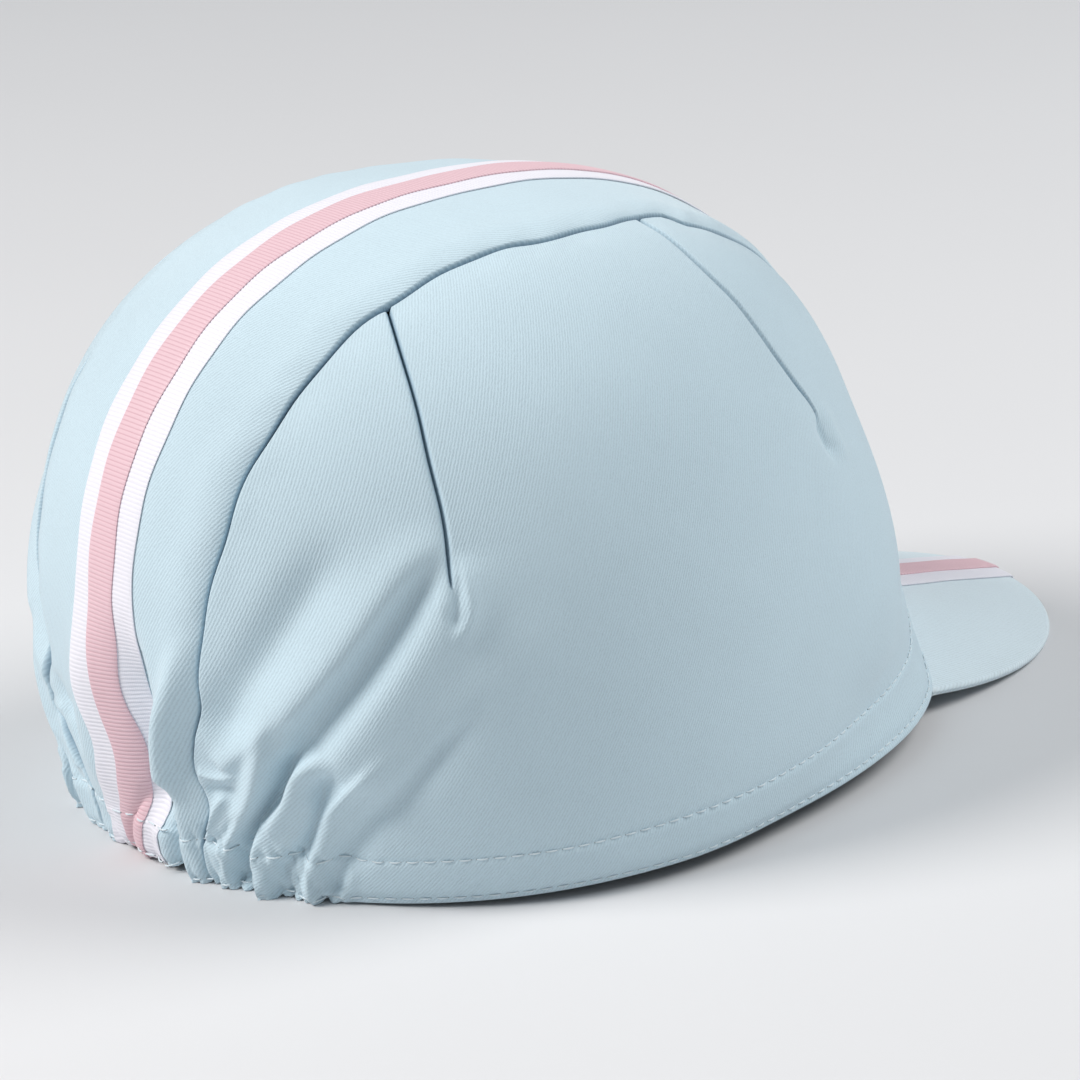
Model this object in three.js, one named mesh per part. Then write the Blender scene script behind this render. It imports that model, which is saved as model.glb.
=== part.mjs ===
// A soft cycling cap: a centre panel between two side panels, with turned-in hems that are gathered
// at the back, a pink ribbon on a wider white one along the middle, and a short cambered peak.
//
// Millimetres, +Z up. The peak points towards -Y and the wearer's right hand is at -X.
// The cap stands on z = 0 on the back of its rim and the lowest edge of its peak.
//
// The surfaces are worked out in the wearer's own directions, as (right, forward, up) vectors.
// A bearing runs from 0 at the back, through 90 degrees at the right, to 180 degrees at the front.

import * as THREE from 'three';

// Overall sizes of the crown
const CROWN_WIDTH = 161.3;
const BACK_REACH = 89.6;
const FRONT_REACH = 98.7;
const CROWN_HEIGHT = 127.8; // without the ribbons
const LEAN_BACK = 9; // how far the top sits behind the middle of the widest level

// Rim
const RIM_RISE = 5.8; // height of the rim where the peak's corners meet it
const RIM_REST = 13.3; // depth of the stretch at the back that lies flat
const HEM_HEIGHT = 10;

// Cloth
const WALL = 1.4;
const HEM_WALL = 2.4; // the edge is turned in, so it is two layers thick
const HEM_STEP = 1; // height over which the hem thins to one layer
const SEWN_GAP = 0.3; // clearance between pieces that are sewn together

// Ribbons
const WHITE_RIBBON_WIDTH = 18.6;
const PINK_RIBBON_WIDTH = 7.5;
const RIBBON_WALL = 1;
const RIBBON_END = 1; // how far the ribbons stop short of an edge

// Peak
const PEAK_WIDTH = 103.4;
const PEAK_LENGTH = 47.8; // along the middle, from the rim to the tip
const PEAK_CORNER = 1; // how far the peak's corners stand out from the rim
const PEAK_THICKNESS = 1.6;
const PEAK_ARCH = 7; // how far the middle of the root stands above its corners
const PEAK_CORNER_POWER = 2.245; // how square the outline's corners are
const PEAK_SLOPE = 0.155; // fall for each millimetre forward at the root
const PEAK_CURL = 0.002; // how much the fall steepens for each millimetre forward

// Gathers that the elastic in the back hem draws up
const GATHER_PITCH = 9;
const GATHER_RISE = 0.8;
const GATHER_HEIGHT = 17; // the height at which a gather has faded to about a third
const GATHER_BEARING = 34; // degrees, where the gathered stretch ends
const GATHER_END = 3; // degrees, over which it stops
const GATHER_UNDER_RIBBON = 0.35; // share of the rise that is left under the ribbons

// Upright sections: the share of the height where the crown is widest, how round it is above
// that, and the share of its reach by which it tucks in at the floor (negative where it flares).
const SECTIONS = {
  back: { widest: 0.402, roundness: 2.11, tuck: 0.1 },
  side: { widest: 0.034, roundness: 2.57, tuck: 0.027 },
  front: { widest: 0.3, roundness: 2.54, tuck: -0.252 },
};
const TUCK_POWER = 1.6;

// The fuller stretch over the brow: a share of its reach, two shares of the height, and degrees.
const BROW = { rise: 0.045, height: 0.25, tall: 0.125, spread: 18 };

// The two long seams: half the centre panel's width on each side, as a share of half the crown's
// width, at shares of the way along the middle from the back rim over the top to the front rim.
const SEAMS = [
  { along: 0.0, right: 0.215, left: 0.235 },
  { along: 0.06, right: 0.258, left: 0.345 },
  { along: 0.13, right: 0.294, left: 0.415 },
  { along: 0.19, right: 0.33, left: 0.425 },
  { along: 0.26, right: 0.362, left: 0.425 },
  { along: 0.36, right: 0.39, left: 0.42 },
  { along: 0.45, right: 0.41, left: 0.42 },
  { along: 0.52, right: 0.42, left: 0.42 },
  { along: 0.61, right: 0.361, left: 0.361 },
  { along: 0.73, right: 0.285, left: 0.285 },
  { along: 0.85, right: 0.236, left: 0.236 },
  { along: 1.0, right: 0.21, left: 0.21 },
];

// Folds in the side panels. Each runs from one bearing and height to another: heights, rises and
// widths are shares of the crown's height, and a negative rise is a valley.
const FOLDS = [
  { side: 1, bearing: 20, height: 0.31, toBearing: 50, toHeight: 0.66, rise: 0.018, width: 0.042 },
  { side: 1, bearing: 29, height: 0.34, toBearing: 47, toHeight: 0.56, rise: -0.014, width: 0.032 },
  { side: 1, bearing: 30, height: 0.1, toBearing: 33, toHeight: 0.25, rise: 0.014, width: 0.04 },
  { side: 1, bearing: 33, height: 0.25, toBearing: 50, toHeight: 0.5, rise: 0.016, width: 0.042 },
  { side: 1, bearing: 38, height: 0.12, toBearing: 58, toHeight: 0.38, rise: -0.01, width: 0.05 },
  { side: -1, bearing: 30, height: 0.1, toBearing: 33, toHeight: 0.3, rise: 0.014, width: 0.07 },
  { side: -1, bearing: 24, height: 0.3, toBearing: 44, toHeight: 0.62, rise: 0.01, width: 0.045 },
  { side: -1, bearing: 33, height: 0.2, toBearing: 45, toHeight: 0.5, rise: -0.013, width: 0.04 },
  { side: -1, bearing: 35, height: 0.1, toBearing: 55, toHeight: 0.42, rise: 0.008, width: 0.05 },
];

// How finely the surfaces are divided
const COLUMNS = { gathered: 16, plain: 21, besideRibbon: 4, peak: 26 };
const ROWS = { sidePanel: 12, centrePanel: 34, peak: 7 };
const PATH_STEPS = 24; // steps in which a path's length is measured
const PEAK_SAMPLES = 100; // places along the peak's edge at which its height is measured
const GATHERED_SHARE = 0.15; // share of a side panel's width that has the gathered columns

// Where the side panels' four edges change from one to the next along a seam
const SEAM_LOW_BACK = 0.19;
const SEAM_LOW_FRONT = 0.875;

const HALF_WIDTH = CROWN_WIDTH / 2;
const PEAK_HALF_WIDTH = PEAK_WIDTH / 2;
const CORE_HEIGHT = 0.35; // share of the height
const CORE = new THREE.Vector3(0, 0, CORE_HEIGHT * CROWN_HEIGHT); // a point well inside the crown
const BISECTIONS = 48;
const PROBE = 0.002; // size of the step, in radians, that finds a surface's normal

const { degToRad, lerp, smoothstep, clamp } = THREE.MathUtils;

// The input between low and high at which a rising function reaches its target.
function solve(low, high, isBelow) {
  for (let i = 0; i < BISECTIONS; i += 1) {
    const middle = (low + high) / 2;
    if (isBelow(middle)) low = middle;
    else high = middle;
  }
  return (low + high) / 2;
}

// A smooth curve through a table's rows, by cubic pieces.
function lookUp(table, input, output, at) {
  const last = table.length - 1;
  let i = table.findIndex((row) => row[input] > at) - 1;
  if (i < 0) i = at <= table[0][input] ? 0 : last - 1;
  const slope = (k) => {
    const before = table[Math.max(k - 1, 0)];
    const after = table[Math.min(k + 1, last)];
    return (after[output] - before[output]) / (after[input] - before[input]);
  };
  const [from, to] = [table[i], table[i + 1]];
  const step = to[input] - from[input];
  const t = (at - from[input]) / step;
  return (
    from[output] * (1 + 2 * t) * (1 - t) ** 2 +
    to[output] * (3 - 2 * t) * t ** 2 +
    step * slope(i) * t * (1 - t) ** 2 +
    step * slope(i + 1) * (t - 1) * t ** 2
  );
}

// Crown, as one smooth surface

function sectionAt(bearing) {
  const back = Math.max(Math.cos(bearing), 0) ** 2;
  const front = Math.max(-Math.cos(bearing), 0) ** 2;
  const side = Math.sin(bearing) ** 2;
  const mix = (name) =>
    back * SECTIONS.back[name] + side * SECTIONS.side[name] + front * SECTIONS.front[name];
  return { widest: mix('widest') * CROWN_HEIGHT, roundness: mix('roundness'), tuck: mix('tuck') };
}

function reachAt(bearing) {
  const along = Math.cos(bearing) > 0 ? BACK_REACH : FRONT_REACH;
  return 1 / Math.hypot(Math.sin(bearing) / HALF_WIDTH, Math.cos(bearing) / along);
}

// The share of its reach that the crown has at a height.
function spreadAt(bearing, height) {
  const { widest, roundness, tuck } = sectionAt(bearing);
  const fromFront = (Math.PI - Math.abs(bearing)) / degToRad(BROW.spread);
  const fromBrow = (height / CROWN_HEIGHT - BROW.height) / BROW.tall;
  const brow = BROW.rise * Math.exp(-(fromFront ** 2) - fromBrow ** 2);
  if (height <= widest) return 1 + brow - tuck * ((widest - height) / widest) ** TUCK_POWER;
  const up = Math.min((height - widest) / (CROWN_HEIGHT - widest), 1);
  return brow + (1 - up ** roundness) ** (1 / roundness);
}

function leanAt(height) {
  return -LEAN_BACK * (height / CROWN_HEIGHT) ** 2;
}

function crownAt(bearing, height) {
  const radius = reachAt(bearing) * spreadAt(bearing, height);
  return new THREE.Vector3(
    radius * Math.sin(bearing),
    leanAt(height) - radius * Math.cos(bearing),
    height,
  );
}

function isInside(point) {
  if (point.z >= CROWN_HEIGHT) return false;
  const forward = point.y - leanAt(point.z);
  const bearing = Math.atan2(point.x, -forward);
  return Math.hypot(point.x, forward) < reachAt(bearing) * spreadAt(bearing, point.z);
}

// The crown's surface in a direction from the core.
function crownTowards(direction) {
  const point = new THREE.Vector3();
  const at = (distance) => point.copy(direction).multiplyScalar(distance).add(CORE);
  return at(solve(0, 2 * CROWN_HEIGHT, (distance) => isInside(at(distance)))).clone();
}

// The same point with the surface's outward normal.
function crownPatch(direction) {
  const ahead = direction.clone().normalize();
  const across = new THREE.Vector3(0, 0, 1).cross(ahead);
  if (across.length() < PROBE) across.set(1, 0, 0);
  across.normalize();
  const upwards = ahead.clone().cross(across);
  const probe = (axis, step) => crownTowards(ahead.clone().addScaledVector(axis, step).normalize());
  const du = probe(across, PROBE).sub(probe(across, -PROBE));
  const dv = probe(upwards, PROBE).sub(probe(upwards, -PROBE));
  return { point: crownTowards(ahead), normal: du.cross(dv).normalize() };
}

// Rim

const CORNER_BEARING = solve(
  Math.PI / 2,
  Math.PI,
  (bearing) => crownAt(bearing, RIM_RISE).x > PEAK_HALF_WIDTH,
);

function rimHeight(bearing) {
  const planForward = (angle) => -Math.cos(angle) * reachAt(angle);
  const start = RIM_REST - BACK_REACH;
  const rise = (planForward(bearing) - start) / (planForward(CORNER_BEARING) - start);
  if (Math.abs(bearing) <= CORNER_BEARING) return RIM_RISE * Math.max(rise, 0);
  const across = crownAt(bearing, RIM_RISE).x / PEAK_HALF_WIDTH;
  return RIM_RISE + PEAK_ARCH * (1 - across ** 2);
}

function rimAt(bearing) {
  return crownAt(bearing, rimHeight(bearing));
}

// The rim's bearing at a distance to the right of the middle, at the back or at the front.
function rimBearing(right, atFront) {
  const side = Math.sign(right) || 1;
  const target = Math.abs(right);
  return side * (atFront
    ? solve(Math.PI / 2, Math.PI, (bearing) => rimAt(bearing).x > target)
    : solve(0, Math.PI / 2, (bearing) => rimAt(bearing).x < target));
}

// Centre panel's own directions: a share of the way along it, and a distance to the right.

function turnOf(point) {
  const turn = Math.atan2(point.z - CORE.z, CORE.y - point.y);
  return turn < -Math.PI / 2 ? turn + 2 * Math.PI : turn;
}

function bandDirection(along, right) {
  const back = turnOf(rimAt(rimBearing(right, false)));
  const front = turnOf(rimAt(rimBearing(right, true)));
  const turn = lerp(back, front, along);
  const at = (distance) =>
    new THREE.Vector3(right, CORE.y - distance * Math.cos(turn), CORE.z + distance * Math.sin(turn));
  const distance = solve(0, 2 * CROWN_HEIGHT, (length) => isInside(at(length)));
  return at(distance).sub(CORE).normalize();
}

function seamDistance(along, side) {
  return HALF_WIDTH * lookUp(SEAMS, 'along', side > 0 ? 'right' : 'left', along);
}

// Cloth: the smooth crown with its gathers and folds

function gatherRise(point, underRibbon) {
  const bearing = Math.atan2(point.x, leanAt(point.z) - point.y);
  const across = (bearing * (BACK_REACH + HALF_WIDTH)) / 2;
  const end = degToRad(GATHER_BEARING);
  const kept = 1 - smoothstep(Math.abs(bearing), end, end + degToRad(GATHER_END));
  const share = underRibbon ? GATHER_UNDER_RIBBON : 1;
  const wave = Math.cos((2 * Math.PI * across) / GATHER_PITCH);
  return share * kept * GATHER_RISE * wave * Math.exp(-point.z / GATHER_HEIGHT);
}

function foldRise(point, fold) {
  const at = (bearing, height) =>
    new THREE.Vector2(degToRad(bearing) * HALF_WIDTH, height * CROWN_HEIGHT);
  const from = at(fold.bearing, fold.height);
  const to = at(fold.toBearing, fold.toHeight);
  const bearing = Math.atan2(point.x * fold.side, leanAt(point.z) - point.y);
  const here = new THREE.Vector2(bearing * HALF_WIDTH, point.z);
  const run = to.clone().sub(from);
  const share = clamp(here.clone().sub(from).dot(run) / run.lengthSq(), 0, 1);
  const away = here.distanceTo(from.addScaledVector(run, share)) / (fold.width * CROWN_HEIGHT);
  return fold.rise * CROWN_HEIGHT * Math.exp(-(away ** 2));
}

function clothRise(point, underRibbon = false) {
  const folds = underRibbon ? 0 : FOLDS.reduce((sum, fold) => sum + foldRise(point, fold), 0);
  return folds + gatherRise(point, underRibbon);
}

// A point of the cloth, a distance out from its smooth surface. An edge stays level on the rim.
function clothPoint({ point, normal }, out, edge) {
  const moved = point.clone().addScaledVector(normal, out);
  if (edge !== null) moved.z = edge;
  return moved;
}

// Solids

// One closed solid between two grids of the same size, given as rows of points.
function solidBetween(outer, inner) {
  const rows = outer.length;
  const columns = outer[0].length;
  const points = [...outer.flat(), ...inner.flat()];
  const at = (layer, row, column) => layer * rows * columns + row * columns + column;
  const faces = [];
  const quad = (a, b, c, d) => faces.push(a, b, c, a, c, d);
  for (let i = 0; i + 1 < rows; i += 1) {
    for (let j = 0; j + 1 < columns; j += 1) {
      quad(at(0, i, j), at(0, i, j + 1), at(0, i + 1, j + 1), at(0, i + 1, j));
      quad(at(1, i, j), at(1, i + 1, j), at(1, i + 1, j + 1), at(1, i, j + 1));
    }
    quad(at(0, i, 0), at(0, i + 1, 0), at(1, i + 1, 0), at(1, i, 0));
    const end = columns - 1;
    quad(at(0, i + 1, end), at(0, i, end), at(1, i, end), at(1, i + 1, end));
  }
  for (let j = 0; j + 1 < columns; j += 1) {
    quad(at(0, 0, j + 1), at(0, 0, j), at(1, 0, j), at(1, 0, j + 1));
    const end = rows - 1;
    quad(at(0, end, j), at(0, end, j + 1), at(1, end, j + 1), at(1, end, j));
  }
  // The part's frame turns the wearer's right to -X and forward to -Y.
  const positions = points.flatMap((p) => [-p.x, -p.y, p.z]);
  const geometry = new THREE.BufferGeometry();
  geometry.setAttribute('position', new THREE.Float32BufferAttribute(positions, 3));
  geometry.setIndex(signedVolume(points, faces) > 0 ? faces : faces.toReversed());
  geometry.computeVertexNormals();
  return geometry;
}

function signedVolume(points, faces) {
  let volume = 0;
  for (let i = 0; i < faces.length; i += 3) {
    const [a, b, c] = [0, 1, 2].map((k) => points[faces[i + k]]);
    volume += a.dot(b.clone().cross(c)) / 6;
  }
  return volume;
}

// Side panels

// The direction of a point of a side panel: across from the back seam to the front seam, and up
// from the rim to the top seam. It blends the panel's four edges.
function sideDirection(side, across, up) {
  const seam = (along) => {
    const right = side * (seamDistance(along, side) + SEWN_GAP / 2);
    return bandDirection(along, right);
  };
  const corner = seamDistance(0, side) + SEWN_GAP / 2;
  const frontCorner = seamDistance(1, side) + SEWN_GAP / 2;
  const start = rimBearing(side * corner, false);
  const end = rimBearing(side * frontCorner, true);
  const rim = (share) => rimAt(lerp(start, end, share)).sub(CORE).normalize();
  const sum = new THREE.Vector3()
    .addScaledVector(rim(across), 1 - up)
    .addScaledVector(seam(lerp(SEAM_LOW_BACK, SEAM_LOW_FRONT, across)), up)
    .addScaledVector(seam(lerp(0, SEAM_LOW_BACK, up)), 1 - across)
    .addScaledVector(seam(lerp(1, SEAM_LOW_FRONT, up)), across)
    .addScaledVector(rim(0), -(1 - across) * (1 - up))
    .addScaledVector(rim(1), -across * (1 - up))
    .addScaledVector(seam(SEAM_LOW_BACK), -(1 - across) * up)
    .addScaledVector(seam(SEAM_LOW_FRONT), -across * up);
  return sum.normalize();
}

// The shares of the way along a path at which it has certain lengths.
function sharesAtLengths(path, lengths) {
  const points = Array.from({ length: PATH_STEPS + 1 }, (_, i) => path(i / PATH_STEPS));
  const run = [0];
  for (let i = 0; i < PATH_STEPS; i += 1) run.push(run[i] + points[i].distanceTo(points[i + 1]));
  return lengths.map((length) => {
    const i = clamp(run.findIndex((value) => value > length), 1, PATH_STEPS);
    return (i - 1 + (length - run[i - 1]) / (run[i] - run[i - 1])) / PATH_STEPS;
  });
}

const HEM_ROWS = [
  { up: 0, wall: HEM_WALL },
  { up: HEM_HEIGHT / 2, wall: HEM_WALL },
  { up: HEM_HEIGHT, wall: HEM_WALL },
  { up: HEM_HEIGHT + HEM_STEP, wall: WALL },
];

function sidePanel(side) {
  const spread = (from, to, count) =>
    Array.from({ length: count }, (_, i) => lerp(from, to, i / count));
  const columns = [
    ...spread(0, GATHERED_SHARE, COLUMNS.gathered),
    ...spread(GATHERED_SHARE, 1, COLUMNS.plain),
    1,
  ];
  const outer = [];
  const inner = [];
  for (const across of columns) {
    const path = (up) => crownTowards(sideDirection(side, across, up));
    const hem = sharesAtLengths(path, HEM_ROWS.map((row) => row.up));
    const top = hem.at(-1);
    const rows = hem.map((up, i) => ({ up, wall: HEM_ROWS[i].wall }));
    for (let i = 1; i <= ROWS.sidePanel; i += 1) {
      rows.push({ up: lerp(top, 1, i / ROWS.sidePanel), wall: WALL });
    }
    const patches = rows.map((row) => crownPatch(sideDirection(side, across, row.up)));
    const edge = (i) => (i === 0 ? patches[0].point.z : null);
    const rises = patches.map((patch) => clothRise(patch.point));
    outer.push(patches.map((patch, i) => clothPoint(patch, rises[i], edge(i))));
    inner.push(patches.map((patch, i) => clothPoint(patch, rises[i] - rows[i].wall, edge(i))));
  }
  return solidBetween(outer, inner);
}

// Centre panel and its ribbons

const STATIONS = (() => {
  const path = (along) => crownTowards(bandDirection(along, 0));
  const back = sharesAtLengths(path, HEM_ROWS.map((row) => row.up));
  const front = sharesAtLengths((along) => path(1 - along), HEM_ROWS.map((row) => row.up));
  const stations = back.map((along, i) => ({ along, wall: HEM_ROWS[i].wall }));
  const [from, to] = [back.at(-1), 1 - front.at(-1)];
  for (let i = 1; i < ROWS.centrePanel; i += 1) {
    stations.push({ along: lerp(from, to, i / ROWS.centrePanel), wall: WALL });
  }
  front.reverse().forEach((along, i) => {
    stations.push({ along: 1 - along, wall: HEM_ROWS[HEM_ROWS.length - 1 - i].wall });
  });
  return stations;
})();

const RIBBON_COLUMNS = [-1, 1]
  .flatMap((side) => [(side * WHITE_RIBBON_WIDTH) / 2, (side * PINK_RIBBON_WIDTH) / 2])
  .concat(0)
  .sort((a, b) => a - b);

// The centre panel's points on one station: its seams, the ribbons' edges and steps between.
function panelColumns(along) {
  const edge = WHITE_RIBBON_WIDTH / 2;
  const beside = (side) => {
    const seam = seamDistance(along, side) - SEWN_GAP / 2;
    const share = (i) => (i + 1) / COLUMNS.besideRibbon;
    return Array.from({ length: COLUMNS.besideRibbon }, (_, i) => side * lerp(edge, seam, share(i)));
  };
  return [...beside(-1).reverse(), ...RIBBON_COLUMNS, ...beside(1)];
}

function isUnderRibbon(right) {
  return Math.abs(right) <= WHITE_RIBBON_WIDTH / 2;
}

function centrePanel() {
  const outer = [];
  const inner = [];
  STATIONS.forEach(({ along, wall }, i) => {
    const isEdge = i === 0 || i === STATIONS.length - 1;
    const outerRow = [];
    const innerRow = [];
    for (const right of panelColumns(along)) {
      const patch = crownPatch(bandDirection(along, right));
      const rise = clothRise(patch.point, isUnderRibbon(right));
      const edge = isEdge ? patch.point.z : null;
      outerRow.push(clothPoint(patch, rise, edge));
      innerRow.push(clothPoint(patch, rise - wall, edge));
    }
    outer.push(outerRow);
    inner.push(innerRow);
  });
  return solidBetween(outer, inner);
}

// A ribbon along the crown, a distance out from the centre panel.
function crownRibbon(width, out) {
  const lengthAlong = (share) => crownTowards(bandDirection(share, 0));
  const [start] = sharesAtLengths(lengthAlong, [RIBBON_END]);
  const [end] = sharesAtLengths((share) => lengthAlong(1 - share), [RIBBON_END]);
  const columns = RIBBON_COLUMNS.filter((right) => Math.abs(right) <= width / 2);
  const layer = (distance) =>
    STATIONS.map(({ along }) => {
      const share = clamp(along, start, 1 - end);
      return columns.map((right) => {
        const patch = crownPatch(bandDirection(share, right));
        return clothPoint(patch, clothRise(patch.point, true) + distance, null);
      });
    });
  return solidBetween(layer(out + RIBBON_WALL), layer(out));
}

// Peak

// The crown's rim at a distance to the right of the middle, on its outside and its inside.
function rootAt(right) {
  const outside = rimAt(rimBearing(right, true));
  const inside = clothPoint(crownPatch(outside.clone().sub(CORE)), -HEM_WALL, outside.z);
  return { outside, inside };
}

const ROOT_CORNER = rootAt(PEAK_HALF_WIDTH).outside.y;
const TIP = rootAt(0).outside.y + PEAK_LENGTH;

function peakEdge(right) {
  const across = Math.min(Math.abs(right) / PEAK_HALF_WIDTH, 1);
  const share = (1 - across ** PEAK_CORNER_POWER) ** (1 / PEAK_CORNER_POWER);
  return lerp(ROOT_CORNER + PEAK_CORNER, TIP, share);
}

function slopeFall(distance) {
  return PEAK_SLOPE * distance + (PEAK_CURL * distance ** 2) / 2;
}

// The peak tips down until its lowest edge is on the surface that the cap stands on.
const PEAK_DROOP = Math.min(
  ...Array.from({ length: PEAK_SAMPLES }, (_, i) => {
    const right = (PEAK_HALF_WIDTH * i) / PEAK_SAMPLES;
    const { outside } = rootAt(right);
    return (outside.z - SEWN_GAP - PEAK_THICKNESS) / slopeFall(peakEdge(right) - outside.y);
  }),
);

// Points from one distance in front of the root to another, a distance above the peak's top.
function peakRow(right, from, to, out) {
  const root = rootAt(right).outside;
  return Array.from({ length: ROWS.peak + 1 }, (_, i) => {
    const distance = lerp(from, to, i / ROWS.peak);
    const height = root.z - SEWN_GAP - PEAK_DROOP * slopeFall(distance);
    return new THREE.Vector3(right, root.y + distance, height + out);
  });
}

function peak() {
  const columns = Array.from({ length: COLUMNS.peak + 1 }, (_, i) => {
    return PEAK_HALF_WIDTH * Math.sin(Math.PI * (i / COLUMNS.peak - 0.5));
  });
  // The root is sewn in under the hem.
  const layer = (out) =>
    columns.map((right) => {
      const { inside, outside } = rootAt(right);
      const sewnIn = inside.clone().setZ(inside.z - SEWN_GAP + out);
      return [sewnIn, ...peakRow(right, 0, peakEdge(right) - outside.y, out)];
    });
  return solidBetween(layer(0), layer(-PEAK_THICKNESS));
}

// The ribbons on the peak start clear of those on the crown, which stand this far out from it.
const RIBBON_STACK = 2 * (SEWN_GAP + RIBBON_WALL);
const PEAK_RIBBON_START = RIBBON_STACK + 2 * SEWN_GAP;

function peakRibbon(width, out) {
  const columns = RIBBON_COLUMNS.filter((right) => Math.abs(right) <= width / 2);
  const layer = (distance) =>
    columns.map((right) => {
      const length = peakEdge(right) - rootAt(right).outside.y;
      return peakRow(right, PEAK_RIBBON_START, length - RIBBON_END, distance);
    });
  return solidBetween(layer(out + RIBBON_WALL), layer(out));
}

const MATERIALS = {
  twill: new THREE.MeshStandardMaterial({ color: 0xc3d9e2, roughness: 0.85, metalness: 0 }),
  white: new THREE.MeshStandardMaterial({ color: 0xf2f1f7, roughness: 0.7, metalness: 0 }),
  pink: new THREE.MeshStandardMaterial({ color: 0xe6bcc5, roughness: 0.7, metalness: 0 }),
};

// Assembly

const cap = new THREE.Group();
cap.name = 'cycling_cap';

function add(name, geometry, material) {
  const mesh = new THREE.Mesh(geometry, material);
  mesh.name = name;
  cap.add(mesh);
}

const UNDER_PINK = SEWN_GAP + RIBBON_WALL + SEWN_GAP;
add('crown_center_panel', centrePanel(), MATERIALS.twill);
add('side_panel_right', sidePanel(1), MATERIALS.twill);
add('side_panel_left', sidePanel(-1), MATERIALS.twill);
add('crown_ribbon_white', crownRibbon(WHITE_RIBBON_WIDTH, SEWN_GAP), MATERIALS.white);
add('crown_ribbon_pink', crownRibbon(PINK_RIBBON_WIDTH, UNDER_PINK), MATERIALS.pink);
add('peak', peak(), MATERIALS.twill);
add('peak_ribbon_white', peakRibbon(WHITE_RIBBON_WIDTH, SEWN_GAP), MATERIALS.white);
add('peak_ribbon_pink', peakRibbon(PINK_RIBBON_WIDTH, UNDER_PINK), MATERIALS.pink);

// The origin is under the middle of the whole cap.
const bounds = new THREE.Box3().setFromObject(cap);
const middle = bounds.getCenter(new THREE.Vector3());
cap.position.set(-middle.x, -middle.y, -bounds.min.z);

export default cap;
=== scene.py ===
"""A soft cycling cap: three twill panels gathered at the back, two ribbons and a short peak."""

import math

import bpy
import numpy as np
from mathutils import Matrix, Vector


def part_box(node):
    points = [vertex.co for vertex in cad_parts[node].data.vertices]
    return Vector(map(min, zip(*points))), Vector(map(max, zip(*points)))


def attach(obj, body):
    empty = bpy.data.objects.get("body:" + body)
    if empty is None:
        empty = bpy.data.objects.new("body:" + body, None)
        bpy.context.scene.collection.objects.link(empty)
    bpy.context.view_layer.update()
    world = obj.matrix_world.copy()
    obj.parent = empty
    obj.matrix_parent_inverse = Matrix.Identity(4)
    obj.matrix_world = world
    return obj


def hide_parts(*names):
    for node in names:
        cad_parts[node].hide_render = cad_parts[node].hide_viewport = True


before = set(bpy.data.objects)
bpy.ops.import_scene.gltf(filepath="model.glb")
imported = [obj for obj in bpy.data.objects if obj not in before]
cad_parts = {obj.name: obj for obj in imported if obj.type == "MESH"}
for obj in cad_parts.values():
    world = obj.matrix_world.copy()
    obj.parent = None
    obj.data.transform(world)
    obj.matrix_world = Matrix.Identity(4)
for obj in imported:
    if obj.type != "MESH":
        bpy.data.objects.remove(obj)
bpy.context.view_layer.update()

bl_info = {
    "name": "Cycling cap",
    "version": (1, 0, 0),
    "blender": (4, 5, 0),
    "location": "3D View > Sidebar > Cap",
    "description": "Makes a soft cycling cap with gathers, darts, ribbons, stitches and a short peak",
    "category": "Add Mesh",
}

MM = 0.001
BODY = "root"

# The crown's smooth shape, in the wearer's directions (right, forward, up) and in millimetres.
# A bearing runs from 0 at the back, through 90 degrees at the right, to 180 at the front.
HALF_WIDTH = 161.3 / 2
BACK_REACH = 89.6
FRONT_REACH = 98.7
CROWN_HEIGHT = 127.8
LEAN_BACK = 9
RIM_RISE = 5.8
RIM_REST = 13.3
PEAK_HALF_WIDTH = 103.4 / 2
PEAK_LENGTH = 47.8
PEAK_CORNER = 1
PEAK_ARCH = 7
PEAK_CORNER_POWER = 2.245
PEAK_SLOPE = 0.155
PEAK_CURL = 0.002
CORE = np.array([0, 0, 0.35 * CROWN_HEIGHT])  # a point well inside the crown

# Upright sections at the back, side and front: where the crown is widest, how round it is above
# that, and how far it tucks in below.
SECTIONS = {
    "widest": (0.402, 0.034, 0.3),
    "roundness": (2.11, 2.57, 2.54),
    "tuck": (0.1, 0.027, -0.252),
}
TUCK_POWER = 1.6
BROW_RISE, BROW_HEIGHT, BROW_TALL, BROW_SPREAD = 0.045, 0.25, 0.125, math.radians(18)

# Half the centre panel's width at its right and left, by the share of the way along it.
SEAMS = np.array(
    [
        (0.0, 0.222, 0.225),
        (0.015, 0.215, 0.222),
        (0.032, 0.226, 0.245),
        (0.048, 0.262, 0.295),
        (0.062, 0.266, 0.35),
        (0.078, 0.25, 0.395),
        (0.1, 0.262, 0.41),
        (0.13, 0.298, 0.415),
        (0.19, 0.33, 0.425),
        (0.26, 0.356, 0.425),
        (0.36, 0.374, 0.42),
        (0.45, 0.393, 0.42),
        (0.52, 0.406, 0.415),
        (0.57, 0.396, 0.39),
        (0.608, 0.36, 0.36),
        (0.644, 0.324, 0.337),
        (0.662, 0.352, 0.327),
        (0.69, 0.334, 0.309),
        (0.74, 0.286, 0.28),
        (0.85, 0.236, 0.236),
        (1.0, 0.21, 0.21),
    ]
)
SEAM_LOW_BACK = 0.19
SEAM_LOW_FRONT = 0.875
PROBE = 0.002  # radians, the step that finds a surface's normal
BISECTIONS = 40
EDGE_GAP = 0.06  # between the edges of two panels that are sewn together


def unit(vectors):
    return vectors / np.linalg.norm(vectors, axis=-1, keepdims=True)


def smoothstep(low, high, value):
    t = np.clip((value - low) / (high - low), 0, 1)
    return t * t * (3 - 2 * t)


def bell(value, centre, width):
    """A smooth bump: 1 at its centre, and about a third at its width from there."""
    return np.exp(-(((value - centre) / width) ** 2))


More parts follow.
